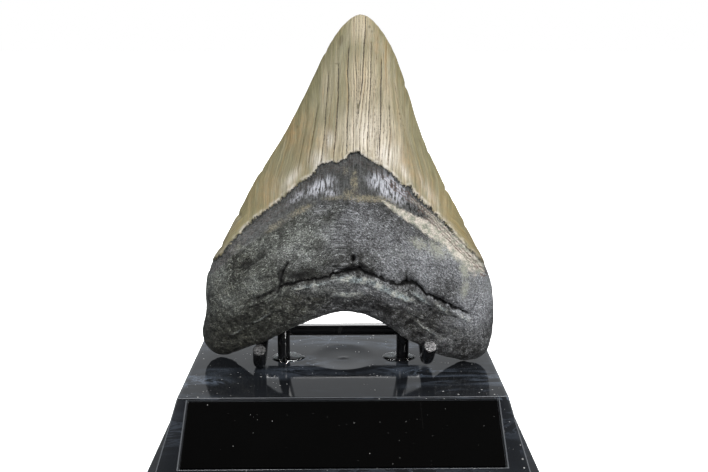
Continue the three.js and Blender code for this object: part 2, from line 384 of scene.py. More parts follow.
def shader_group(name, inputs, outputs):
    """An empty shader node group with named sockets, and its input and output nodes."""
    tree = bpy.data.node_groups.new(name, "ShaderNodeTree")
    for label, kind, default in inputs:
        socket = tree.interface.new_socket(label, in_out="INPUT", socket_type=kind)
        socket.default_value = default
    for label, kind in outputs:
        tree.interface.new_socket(label, in_out="OUTPUT", socket_type=kind)
    sheet = NodeSheet(tree)
    return sheet, sheet.add("NodeGroupInput"), sheet.add("NodeGroupOutput")


def settled_dust():
    """Dust specks and a thin film: a mask, for any smooth black surface."""
    name = "Settled dust"
    if name in bpy.data.node_groups:
        return bpy.data.node_groups[name]
    sheet, given, result = shader_group(
        name,
        [("Speck size", "NodeSocketFloat", 0.004), ("Amount", "NodeSocketFloat", 0.1),
         ("Film", "NodeSocketFloat", 0.02)],
        [("Mask", "NodeSocketFloat")])
    place = sheet.object_place()
    scale = sheet.math("DIVIDE", 1.0, given.outputs["Speck size"])
    cells = sheet.add(
        "ShaderNodeTexVoronoi", {"Vector": place, "Scale": scale, "Randomness": 1.0}, feature="F1")
    tint = sheet.add("ShaderNodeSeparateColor", {"Color": cells.outputs["Color"]})
    clusters = sheet.rise(sheet.grain(place, 0.02, 3.0), 0.36, 0.58)
    reach = sheet.times(sheet.math("POWER", tint.outputs[0], 4.0), given.outputs["Amount"])
    reach = sheet.times(reach, clusters)
    specks = sheet.math("LESS_THAN", cells.outputs["Distance"], reach)
    film = sheet.times(sheet.grain(place, 0.018, 5.0, 0.65), given.outputs["Film"])
    mask = sheet.math("MAXIMUM", sheet.times(specks, tint.outputs[1]), film, clamp=True)
    sheet.give(result.inputs["Mask"], mask)
    return sheet.tree


def hair_scratches():
    """Fine crossing scratches: a mask, for any polished surface."""
    name = "Hair scratches"
    if name in bpy.data.node_groups:
        return bpy.data.node_groups[name]
    sheet, given, result = shader_group(
        name, [("Width", "NodeSocketFloat", 0.03)], [("Mask", "NodeSocketFloat")])
    place = sheet.object_place()
    layers = []
    for turn, seed in ((0.5, 0.0), (1.9, 3.1), (2.7, 7.7)):
        inputs = {
            "Vector": place, "Location": (seed, seed, 0.0),
            "Rotation": (0.0, 0.0, turn), "Scale": (90.0, 9.0, 20.0),
        }
        turned = sheet.add("ShaderNodeMapping", inputs).outputs[0]
        cells = sheet.add(
            "ShaderNodeTexVoronoi", {"Vector": turned, "Scale": 1.0}, feature="DISTANCE_TO_EDGE")
        line = sheet.math("LESS_THAN", cells.outputs["Distance"], given.outputs["Width"])
        patch = sheet.math("GREATER_THAN", sheet.grain(turned, 2.2, 2.0), 0.6)
        layers.append(sheet.times(line, patch))
    mask = sheet.math("MAXIMUM", sheet.math("MAXIMUM", layers[0], layers[1]), layers[2])
    sheet.give(result.inputs["Mask"], mask)
    return sheet.tree


def use_group(sheet, group, **values):
    """Places a node group in a material with its own values."""
    node = sheet.add("ShaderNodeGroup", node_tree=group)
    for key, value in values.items():
        sheet.give(node.inputs[key.replace("_", " ")], value)
    return node.outputs[0]


# The tooth's features in its own plane, in millimetres: across from the middle, and up from the lobes

# Edge of the enamel on the inner face, from the left shoulder over the peak to the right shoulder
ENAMEL_EDGE = [
    (-47, 36.5), (-42, 40.2), (-38.7, 44.4), (-34.4, 49), (-30.8, 52.7), (-25, 56.6), (-19.5, 61.3),
    (-16.8, 63.6), (-14.5, 65.9), (-11, 67.2), (-9.5, 69.1), (-8.7, 71), (-6.9, 71.8), (-3.7, 72.9),
    (-2, 72.3), (0, 73.4), (1.6, 74), (2.2, 75.4), (4.2, 76.2), (5.7, 76.5), (6.4, 75.4), (9.7, 73.2),
    (14.7, 70.6), (17.2, 68.4), (19.6, 65.7), (22.3, 63.9), (23.5, 64.4), (24.6, 62.1), (30.9, 56.4),
    (36.7, 50.8), (45.7, 41.4), (51, 36),
]
# Lower edge of the dark band below the enamel
BAND_EDGE = [
    (-47, 32), (-38.8, 39.3), (-27.4, 47.6), (-19.5, 52.1), (-7.5, 58.6), (1, 59.8), (11.4, 60.1),
    (17.3, 58.1), (24.5, 52.5), (32.8, 46.6), (43.3, 39.5), (51, 33),
]
# Edge of the enamel on the outer face
OUTER_EDGE = [
    (-47, 36.5), (-34, 42), (-18, 46), (-4, 45.4), (4, 44), (12, 45.6), (26, 45.5), (42, 41), (51, 36),
]
# Cleft across the root
FISSURE = [
    (-45, 18), (-35.3, 22.9), (-27.1, 26.5), (-19.2, 30.6), (-13.9, 32.2), (-4.4, 33.9), (0.4, 36.3),
    (6.8, 37.1), (12.2, 34.7), (16.2, 33), (20.6, 31.9), (22.7, 32.6), (26.1, 31.8), (28.9, 28.9),
    (33.1, 26.3), (37.3, 23.9), (43.4, 20.6), (50, 17),
]
# How open the cleft is along its way: across, and share of its full depth
FISSURE_OPENING = [
    (-45, 0.05), (-34, 0.25), (-27, 0.35), (-22, 0.5), (-17, 0.75), (-8, 0.6), (0, 0.9), (7, 1),
    (12, 0.65), (18, 0.55), (22, 0.8), (27, 1), (31, 0.7), (35, 0.9), (38, 0.7), (43, 0.5), (47, 0.1),
    (50, 0),
]
# Long cracks down the enamel from left to right: strength, then places from the tip down
CRACKS = [
    (0.25, [(-16, 80), (-20, 66)]),
    (0.35, [(-12.4, 88), (-15.6, 70)]),
    (0.55, [(-8.7, 92.3), (-10.2, 83), (-11.7, 73)]),
    (0.75, [(-5, 103), (-5.9, 90.5), (-6.3, 81), (-7.3, 72)]),
    (0.4, [(-3.6, 97.5), (-4.3, 90.5), (-5, 82.8)]),
    (0.95, [(-1.7, 106), (-1.7, 95), (-2.3, 82.7), (-3.1, 73.3)]),
    (0.9, [(1.9, 113), (1.5, 103.5), (2.1, 94.8), (1.6, 85.3), (1.6, 75.8)]),
    (0.5, [(4.2, 115), (4.2, 108), (4.7, 101), (4.8, 95)]),
    (1.0, [(7.5, 123.5), (7.4, 117.8), (7, 109.5), (6.6, 100), (5.7, 92.3), (4.6, 83)]),
    (0.8, [(9.5, 114), (9.5, 100), (9, 89.7), (8.7, 80)]),
    (0.35, [(11.5, 111.5), (11.2, 101.8), (11, 92)]),
    (0.95, [(13.1, 107.5), (13, 97.5), (13, 87), (12.5, 73.2)]),
    (0.6, [(15.8, 94), (16.4, 82.8), (15.6, 71)]),
    (0.45, [(17.4, 101), (19.3, 91.5), (20.3, 84)]),
    (0.3, [(19.8, 90), (22.6, 78), (23.4, 68)]),
    (0.25, [(22.5, 82), (27, 66)]),
]
# Short cracks in the root: width, depth share, then places from the top down
ROOT_CRACKS = [
    (0.6, 0.95, [(-18.1, 38.8), (-19.9, 35.5), (-20.4, 33), (-21.8, 28)]),
    (0.5, 0.32, [(-17.5, 35.3), (-13.9, 36.4), (-8.1, 37.1), (-3.9, 38.4)]),
    (0.8, 0.42, [(-34, 35.8), (-30.5, 38), (-26.5, 41)]),
    (0.35, 0.28, [(-27.7, 33.1), (-22.1, 34.6)]),
    (0.34, 0.6, [(22.4, 36.4), (22.7, 32.6)]),
    (0.34, 0.5, [(-2.5, 38.2), (0.4, 37), (5, 38.4), (9.5, 37.8)]),
    (0.3, 0.35, [(36, 31), (38.5, 28), (40.5, 24)]),
    (0.3, 0.4, [(-22.4, 27.5), (-27.5, 24.2), (-33, 21.5)]),
    (0.26, 0.3, [(20, 24), (25.7, 20.2), (31, 15.5), (36, 11.2)]),
    (0.26, 0.25, [(27, 22), (30.5, 18.4), (34.6, 15.4)]),
    (0.28, 0.35, [(43.4, 20.6), (46, 22.5), (47.5, 26)]),
]
# Round pits: across, up, radius and depth
PITS = [
    (4.3, 40.9, 0.85, 1.9), (-24, 44, 0.7, 0.5), (31, 22.5, 0.7, 0.6), (-33, 28, 0.7, 0.5),
    (16, 24, 0.6, 0.5), (-11, 26, 0.7, 0.5), (41, 33, 0.6, 0.4), (-40, 14, 0.8, 0.6), (43, 13, 0.7, 0.5),
]
# Soft dents in the root: across, up, reach across, reach up, tilt in degrees and depth
DENTS = [
    (-33, 37.6, 4.6, 1.5, 25, 0.8), (-39, 31.5, 4.5, 1.8, 32, 0.5), (-27, 32, 5, 1.4, 28, 0.35),
    (-44, 21, 2.5, 6, 10, 0.5), (46, 27, 2.2, 5, -12, 0.5), (-20, 24.5, 6, 1.8, 22, 0.55),
    (36, 12, 7, 1.6, -38, 0.6), (-37, 9, 6, 2.5, 20, 0.5), (20, 25.5, 6, 1.4, -30, 0.4),
    (-8, 54, 8, 1.6, 14, 0.3), (12, 55, 6, 1.5, -10, 0.25), (-9, 34.9, 9, 1.3, 4, 0.5),
]
# Chips in the cutting edges: across, up, reach along the edge and depth
EDGE_CHIPS = [
    (-37.6, 52.6, 1.0, 0.8), (36.8, 62.8, 0.9, 0.6), (-6.6, 110.4, 0.9, 0.25), (21.8, 98.8, 0.9, 0.35),
    (-29.5, 69, 0.9, 0.3), (30, 76.5, 0.9, 0.3), (43.5, 50, 1.1, 0.45), (-44, 41.5, 1.2, 0.4),
]
# Colour patches: across, up, reach across, reach up, tilt in degrees and strength
PALE_ENAMEL = [
    (9, 80, 11, 17, 0, 1.0), (-5, 78, 5, 8, 20, 0.7), (5.5, 119, 4.5, 7, 0, 0.75),
    (7, 98, 6.5, 12, 0, 0.85), (14.5, 98, 5, 13, 15, 0.5), (-4, 98, 5, 14, -15, 0.4),
    (19, 73, 4, 9, 25, 0.55), (-36, 47, 4, 6, -40, 0.1),
]
STAINED_ENAMEL = [
    (-16.5, 83, 3.2, 7, -30, 1.0), (-12, 77, 5, 8, -30, 0.5), (23, 71, 3, 10, 25, 0.75),
    (12, 112, 3, 7, 15, 0.6), (-27, 62, 5, 9, -30, 0.6), (34, 58, 4, 9, 30, 0.65),
    (-13, 72, 3, 6, -25, 0.5), (27, 66, 2.4, 7, 28, 0.6), (44, 44, 3, 7, 40, 0.5),
    (18, 92, 2, 10, 12, 0.4),
]
BLOOM_ENAMEL = [
    (-4.2, 80.2, 1.4, 2.7, 0, 1.1), (-8, 73, 3.5, 3.5, 25, 0.8), (15, 75, 4.5, 5.5, 15, 1.0),
    (8, 82, 8, 9, 0, 0.6), (-18, 66.5, 1.6, 5, -38, 0.7), (21.5, 69, 1.2, 4, 25, 0.8),
    (-22.5, 65, 1.2, 6, -35, 0.12), (30, 62, 1.5, 8, 30, 0.4),
]
# Dark olive spots in the enamel
SPOTS = [
    (-1.0, 114, 0.8, 1.9, -12, 1.0), (8.8, 118.7, 0.5, 0.6, 0, 0.8), (9.7, 117.1, 0.5, 0.6, 0, 0.8),
    (-2.1, 106.2, 1.4, 0.35, 0, 0.7), (-1.8, 111.4, 0.5, 0.9, 0, 0.5), (5.3, 91.6, 0.5, 1.2, 0, 0.8),
    (-16.2, 84.5, 0.6, 0.9, 0, 0.6), (15.9, 91.4, 0.5, 0.9, 0, 0.7), (-5.2, 80.3, 1.0, 0.4, 30, 0.5),
]
FROSTED_BAND = [
    (-7.7, 64.3, 5.6, 2.4, 28, 1.15), (-4, 62.6, 3, 2.0, 0, 0.9), (12.4, 66, 3.6, 2.8, -20, 1.3),
    (16.5, 63.9, 6.2, 3.4, -36, 1.6), (-16, 60.4, 4.5, 1.6, 34, 0.7), (24.5, 59.2, 4, 1.2, -42, 0.5),
]
# Pinkish cream between the enamel and the cream deposit
PINK_BAND = [(26, 58.4, 4, 1.0, -42, 0.55), (33, 52.6, 6, 1.5, -43, 0.8), (41, 45.4, 6, 1.6, -45, 0.85)]
GOLDEN_BAND = [
    (4.3, 66, 1.3, 3.6, 0, 1.0), (3, 62, 3, 2, 0, 0.7), (9, 60.3, 8, 1.2, -3, 1.15),
    (17.5, 57.8, 3.4, 1.3, -28, 0.8), (-2.5, 60.6, 5, 1.0, 8, 0.55), (-14.5, 55.9, 5.5, 1.4, 26, 0.75),
    (-23, 50.8, 4.5, 1.3, 34, 0.6), (1, 70, 1.4, 2.5, 0, 0.5),
]
# Black strokes at the band's right end
STROKED_BAND = [(25.6, 56.3, 4.2, 1.5, -35, 1.0), (31, 52.6, 3, 0.8, -38, 0.4), (5, 72, 3, 2.5, 0, 0.45)]
# Cream deposit along the band's right part, and its half width along the way
CREAM_LINE = [
    (14, 59.4), (19.4, 55.9), (22.8, 54.2), (27, 52), (31.1, 49.9), (35.3, 47.4), (39.4, 44.8),
    (43.8, 41.6), (48.5, 37),
]
CREAM_WIDTH = [(12, 0), (16, 0.7), (20, 1.2), (27, 1.9), (35, 3.0), (44, 4.2), (48, 3.0)]
# Palest parts of the root: partly their own tone and partly painted light, strongest on the right lobes
PALE_AND_LIT_ROOT = [
    (27, 39, 15, 9, -28, 0.66), (2, 48, 20, 7, 0, 0.25), (46, 25, 6, 11, -10, 1.9),
    (42, 15, 8, 6, -20, 0.45), (42, 33, 3, 7, 20, 0.9), (20, 44, 13, 6, -15, 0.55),
    (-12, 47, 14, 4.5, 22, 0.35), (-14, 40, 10, 5, 20, 0.12), (38, 40, 9, 4, -38, 0.8),
    (-30, 41, 8, 3.5, 38, 0.22), (-42, 24, 6, 10, 0, 0.4), (-29, 31, 8, 5, 28, 0.5),
    (37, 23.9, 0.7, 0.7, 0, 1.0), (39.4, 17.1, 0.6, 0.6, 0, 0.9), (2, 30, 13, 2.6, 2, 0.5),
    (18, 27, 10, 2.6, -25, 0.5), (-10.9, 40.4, 1.0, 1.0, 0, 0.8), (-8.1, 55.6, 1.0, 0.8, 0, 0.7),
    (-15, 35.9, 0.6, 0.6, 0, 0.8),
]
# Greenish deposits below the cream
GREEN_ROOT = [
    (27, 45.5, 4, 2.2, -25, 0.7), (33, 43.4, 4.5, 2.6, -35, 0.75), (42, 36.5, 1.5, 4, 10, 0.95),
    (42.5, 30, 1.6, 3.6, -5, 0.85), (39, 41.3, 4, 1.8, -42, 0.7), (-36, 43, 3, 1.2, 40, 0.5),
]
# Crumbled dark ledges beside the cleft
CRUMBLED_ROOT = [
    (-13.3, 35.0, 4.6, 1.0, 8, 0.95), (4, 37.3, 3.4, 0.7, 8, 1.0), (-27, 26.6, 6, 0.9, 30, 0.6),
    (-20.5, 34, 1.0, 3.2, 8, 0.7), (30, 26.2, 5, 0.7, -36, 0.55), (22.6, 33.6, 0.9, 1.6, 0, 0.7),
    (38.5, 20.8, 3.4, 0.7, -36, 0.6), (-33, 37.8, 4.6, 1.0, 28, 0.5),
]
# Pale lip below the cleft
CLEFT_LIP = [
    (-10, 31.4, 8, 0.7, 12, 0.6), (5, 33.7, 8, 1.3, -6, 0.8), (14, 31.2, 6, 1.2, -25, 0.85),
    (20, 28.3, 5, 1.3, -24, 1.05), (27.5, 27.4, 4.5, 1.0, -38, 0.7), (35.5, 22.6, 4, 0.8, -38, 0.6),
    (3, 28.2, 7, 1.2, 4, 0.48), (43, 19, 2.5, 0.9, -35, 0.5), (30, 14.8, 7, 0.4, -40, 0.6),
    (25, 21, 4.5, 0.4, -32, 0.5), (-28, 18, 8, 0.4, 33, 0.45), (-37, 12, 5, 0.4, 30, 0.4),
]
# Darkest parts of the root: partly their own tone and partly painted shade, strongest on the underside at
# the lower left
DARK_AND_SHADED_ROOT = [
    (-38, 8, 15, 10, 15, 1.4), (24, 18, 12, 4, -32, 0.25), (-14, 25, 16, 5, 22, 0.35),
    (25, 20, 14, 5, -30, 0.3), (-34, 37.5, 7, 3, 30, 0.4), (-9, 34.9, 9, 1.6, 4, 0.5),
    (-40, 30, 7, 6, 30, 0.15),
]
BROWN_ROOT = [
    (-36, 26, 14, 10, 25, 0.7), (-15, 24, 18, 6, 20, 0.7), (30, 18, 20, 8, -25, 0.7),
    (-39, 9, 12, 8, 0, 0.55), (0, 28, 20, 5, 0, 0.5), (44, 33, 6, 8, 0, 0.5), (-34, 40, 10, 4, 38, 0.6),
]
# Patches that only the inner face has, and all the features that the material reads from the mesh
INNER_PATCHES = {
    "gold": GOLDEN_BAND, "strokes": STROKED_BAND, "lip": CLEFT_LIP, "green": GREEN_ROOT,
    "crumbled": CRUMBLED_ROOT,
}
FEATURES = (
    "enamel", "band", "phase", "spacing", "cracked", "cleft", "opening", "dark", "pale", "stain", "frost",
    "cream", *INNER_PATCHES, "edge",
)
# Height above which the tooth has cutting edges
SHOULDER_UP = 34.0
# Where the blade's middle line stands at the lobes, and how far it leans to the right on its way up
MIDDLE_ACROSS, MIDDLE_LEAN = 1.0, 0.04


# The tooth

def height_on(line, across):
    """The height of a line of places at given distances across."""
    places = np.array(line, float)
    return np.interp(across, places[:, 0], places[:, 1])


def distance_to(line, across, up):
    """The distance of points from a line of places."""
    places = np.array(line, float)
    nearest = np.full(across.shape, np.inf)
    for start, end in zip(places[:-1], places[1:]):
        run = end - start
        share = ((across - start[0]) * run[0] + (up - start[1]) * run[1]) / (run @ run)
        share = np.clip(share, 0.0, 1.0)
        gap = np.hypot(across - start[0] - share * run[0], up - start[1] - share * run[1])
        nearest = np.minimum(nearest, gap)
    return nearest


def smooth_rise(value, low, high):
    """A smooth step from 0 at low to 1 at high."""
    share = np.clip((value - low) / (high - low), 0.0, 1.0)
    return share * share * (3.0 - 2.0 * share)


def patches(marks, across, up):
    """The strength of soft oval patches at points of a face."""
    total = np.zeros(across.shape)
    for middle_across, middle_up, reach_across, reach_up, tilt, strength in marks:
        turn = math.radians(tilt)
        x, z = across - middle_across, up - middle_up
        along = (x * math.cos(turn) + z * math.sin(turn)) / reach_across
        aside = (z * math.cos(turn) - x * math.sin(turn)) / reach_up
        total = np.maximum(total, strength * np.exp(-along ** 2 - aside ** 2))
    return total


def lumps(places, size, octaves=3):
    """Fractal noise around 0 whose lumps are about one size across."""
    scale = 1.0 / size
    fading, finer = 0.9, 2.1
    return np.array([
        noise.fractal(Vector(place) * scale, fading, finer, octaves, noise_basis="PERLIN_ORIGINAL")
        for place in places])


class ToothSurface:
    """The finished tooth's points in its own plane, and the features worked out on them."""

    def __init__(self, piece, settings):
        mesh = piece.data
        self.settings = settings
        self.count = len(mesh.vertices)
        flat = np.empty(self.count * 3)
        mesh.vertices.foreach_get("co", flat)
        self.points = flat.reshape(-1, 3)
        mesh.vertices.foreach_get("normal", flat := np.empty(self.count * 3))
        self.normals = flat.reshape(-1, 3)
        self.origin = on_base(0.0, settings.depth, settings.lift)
        pose = Matrix.Rotation(-settings.turn, 3, "Z") @ Matrix.Rotation(-settings.lean, 3, "X")
        self.axes = np.array(pose)
        self.place = (self.points - np.array(self.origin)) @ self.axes / MM
        self.facing = self.normals @ self.axes
        self.across = self.place[:, 0]
        self.up = self.place[:, 2]
        self.inner = self.facing[:, 1] < 0.0

    def features(self):
        """Works out every feature that the relief and the colours use."""
        across, up, inner = self.across, self.up, self.inner
        ragged = 0.55 * lumps(self.place, 2.2) + 0.25 * lumps(self.place, 0.9)
        edge_height = np.where(inner, height_on(ENAMEL_EDGE, across), height_on(OUTER_EDGE, across))
        edge_gap = np.where(
            inner, distance_to(ENAMEL_EDGE, across, up), distance_to(OUTER_EDGE, across, up))
        self.enamel = np.where(up > edge_height, edge_gap, -edge_gap) + 0.5 * ragged
        band_low = height_on(BAND_EDGE, across)
        band = (up - band_low) / np.maximum(height_on(ENAMEL_EDGE, across) - band_low, 1.0)
        self.band = np.where(inner, band + 0.12 * ragged, -1.0)
        self.crack_lines()
        wander = 0.9 * lumps(self.place, 3.0) + 0.4 * lumps(self.place, 1.1)
        self.cleft = up - height_on(FISSURE, across) + wander
        self.opening = np.where(inner, height_on(FISSURE_OPENING, across), 0.0)
        self.hollows()
        self.edge = smooth_rise(1.0 - np.abs(self.facing[:, 1]), 0.12, 0.75)
        on_blade = self.enamel > 0
        # On the root, the pale feature holds painted light and painted shade as well as the root's own tone
        root_tone_light_and_shade = patches(PALE_AND_LIT_ROOT, across, up) - patches(DARK_AND_SHADED_ROOT, across, up)
        self.pale = np.where(on_blade, patches(PALE_ENAMEL, across, up), root_tone_light_and_shade)
        self.pale = np.where(inner, self.pale, np.where(on_blade, 0.35, 0.25))
        self.stain = np.where(on_blade, patches(STAINED_ENAMEL, across, up), patches(BROWN_ROOT, across, up))
        self.stain = np.where(inner, self.stain, 0.4)
        bloom = np.where(on_blade, patches(BLOOM_ENAMEL, across, up), patches(FROSTED_BAND, across, up))
        self.frost = np.where(inner, bloom, 0.0)
        for name, marks in INNER_PATCHES.items():
            setattr(self, name, np.where(inner, patches(marks, across, up), 0.0))
        reach = np.maximum(height_on(CREAM_WIDTH, across), 0.05)
        cream = 1.0 - smooth_rise(distance_to(CREAM_LINE, across, up) / reach, 0.35, 1.5)
        cream = np.maximum(cream, patches(PINK_BAND, across, up))
        self.cream = np.where(inner, cream, 0.0)
        spots = patches(SPOTS, across, up) * inner
        self.dark = np.where(on_blade, spots, self.dark)

    def crack_lines(self):
        """Numbers the cracks across the blade, so that a crack lies at each whole number."""
        up, across = self.up, self.across
        lines = []
        strengths = []
        for strength, places in CRACKS:
            low_first = np.array(places[::-1], float)
            lines.append(np.interp(up, low_first[:, 1], low_first[:, 0]))
            fade_low = smooth_rise(up, low_first[0, 1] - 4.0, low_first[0, 1] + 2.0)
            fade_high = 1.0 - smooth_rise(up, low_first[-1, 1] - 3.0, low_first[-1, 1] + 2.5)
            strengths.append(strength * fade_low * fade_high)
        lines = np.array(lines)
        strengths = np.array(strengths)
        outer_gap = 3.0
        self.phase = np.where(
            across < lines[0], (across - lines[0]) / outer_gap,
            len(lines) - 1 + (across - lines[-1]) / outer_gap)
        self.spacing = np.full(self.count, outer_gap)
        for number in range(len(lines) - 1):
            left, right = lines[number], lines[number + 1]
            gap = np.maximum(right - left, 0.4)
            inside = (across >= left) & (across < right)
            self.phase = np.where(inside, number + (across - left) / gap, self.phase)
            self.spacing = np.where(inside, gap, self.spacing)
        nearest = np.clip(np.rint(self.phase), 0, len(lines) - 1).astype(int)
        beyond = (self.phase < -0.5) | (self.phase > len(lines) - 0.5)
        self.cracked = np.where(beyond, 0.12, strengths[nearest, np.arange(self.count)])
        self.cracked *= np.where(self.inner, 1.0, 0.6)
        self.crack_gap = np.abs(self.phase - np.rint(self.phase)) * self.spacing

    def hollows(self):
        """Depth of the pits and the short cracks in the root, and the painted shade inside them."""
        self.hollow = np.zeros(self.count)
        self.dark = np.zeros(self.count)
        for width, share, places in ROOT_CRACKS:
            shape = np.exp(-(distance_to(places, self.across, self.up) / width) ** 2)
            self.hollow = np.maximum(self.hollow, share * shape)
            self.dark = np.maximum(self.dark, shape * min(1.0, share * 1.8))
        for across, up, radius, depth in PITS:
            away = np.hypot(self.across - across, (self.up - up) * 0.8)
            shape = np.exp(-(away / radius) ** 4)
            self.hollow = np.maximum(self.hollow, depth * shape)
            self.dark = np.maximum(self.dark, shape * min(1.0, depth * 0.8))
        self.hollow *= self.inner
        self.dark *= self.inner

    def relief(self):
        """Height of the surface above the smooth form, in millimetres."""
        settings = self.settings
        on_enamel = smooth_rise(self.enamel, -0.25, 0.35)
        step = settings.enamel_step / MM * on_enamel * np.exp(-np.maximum(self.enamel, 0.0) / 9.0)
        blade_cracks = np.exp(-(self.crack_gap / 0.42) ** 2) * self.cracked * on_enamel
        flutes = 0.05 * np.sin(self.phase * 2.0 * math.pi) * on_enamel
        root_only = 1.0 - on_enamel
        rough = 0.17 * lumps(self.place, 1.2) + 0.26 * lumps(self.place, 3.0) + 0.6 * lumps(self.place, 8.0)
        grain = root_only * rough * (0.25 + 0.75 * smooth_rise(np.abs(self.facing[:, 1]), 0.1, 0.6))
        waves = 0.10 * on_enamel * lumps(self.place, 12.0)
        band = smooth_rise(self.band, -0.1, 0.15) * root_only
        band_lines = 0.09 * band * np.sin(self.across * 5.2 + 1.5 * lumps(self.place, 4.0))
        dip = 0.35 * band
        dents = patches(DENTS, self.across, self.up) * self.inner * root_only
        width = 0.4 + 0.6 * self.opening
        above = np.where(self.cleft > 0, self.cleft / (1.4 * width), self.cleft / width)
        cleft = settings.fissure_depth / MM * self.opening * np.exp(-np.abs(above) ** 1.6)
        lip = 0.9 * self.lip + 0.45 * self.opening * np.exp(-((self.cleft + 2.6) / 1.5) ** 2)
        height = step + flutes + grain + waves + band_lines + lip * root_only
        height -= settings.crack_depth / MM * blade_cracks + dip + dents
        height -= (cleft + self.hollow) * root_only
        return height

    def chips(self):
        """How far each point is pushed in from the cutting edge, in millimetres."""
        push = np.zeros(self.count)
        for across, up, reach, depth in EDGE_CHIPS:
            away = np.hypot(self.across - across, self.up - up)
            push = np.maximum(push, depth * np.exp(-(away / reach) ** 2))
        return push

    def reach_rim(self, piece, rim):
        """Draws the points beside the cutting edges out to the edges, which the remeshing rounds off."""
        tree = kdtree.KDTree(len(rim))
        for number, place in enumerate(rim):
            tree.insert(place, number)
        tree.balance()
        near = np.nonzero((np.abs(self.facing[:, 1]) < 0.9) & (self.up > SHOULDER_UP))[0]
        drawn = self.points.copy()
        for number in near:
            place, _, gap = tree.find(self.points[number])
            share = 1.0 - smooth_rise(np.float64(gap / self.settings.rim_reach), 0.3, 1.0)
            drawn[number] += (np.array(place) - self.points[number]) * share
        piece.data.vertices.foreach_set("co", drawn.ravel())
        piece.data.update()

    def write(self, piece):
        """Moves the mesh by the relief and keeps the features as attributes for the material."""
        mesh = piece.data
        middle = MIDDLE_ACROSS + self.up * MIDDLE_LEAN
        inwards = np.where(self.across > middle, -1.0, 1.0)
        moved = self.points + self.normals * self.relief()[:, None] * MM
        moved += np.outer(self.chips() * inwards * MM, self.axes[:, 0])
        moved = np.clip(moved, np.array(tooth_low), np.array(tooth_high))
        mesh.vertices.foreach_set("co", moved.ravel())
        for name in FEATURES:
            layer = mesh.attributes.new(name, "FLOAT", "POINT")
            layer.data.foreach_set("value", np.ascontiguousarray(getattr(self, name), np.float32))
        layer = mesh.attributes.new("place", "FLOAT_VECTOR", "POINT")
        layer.data.foreach_set("vector", np.ascontiguousarray(self.place, np.float32).ravel())
        mesh.update()


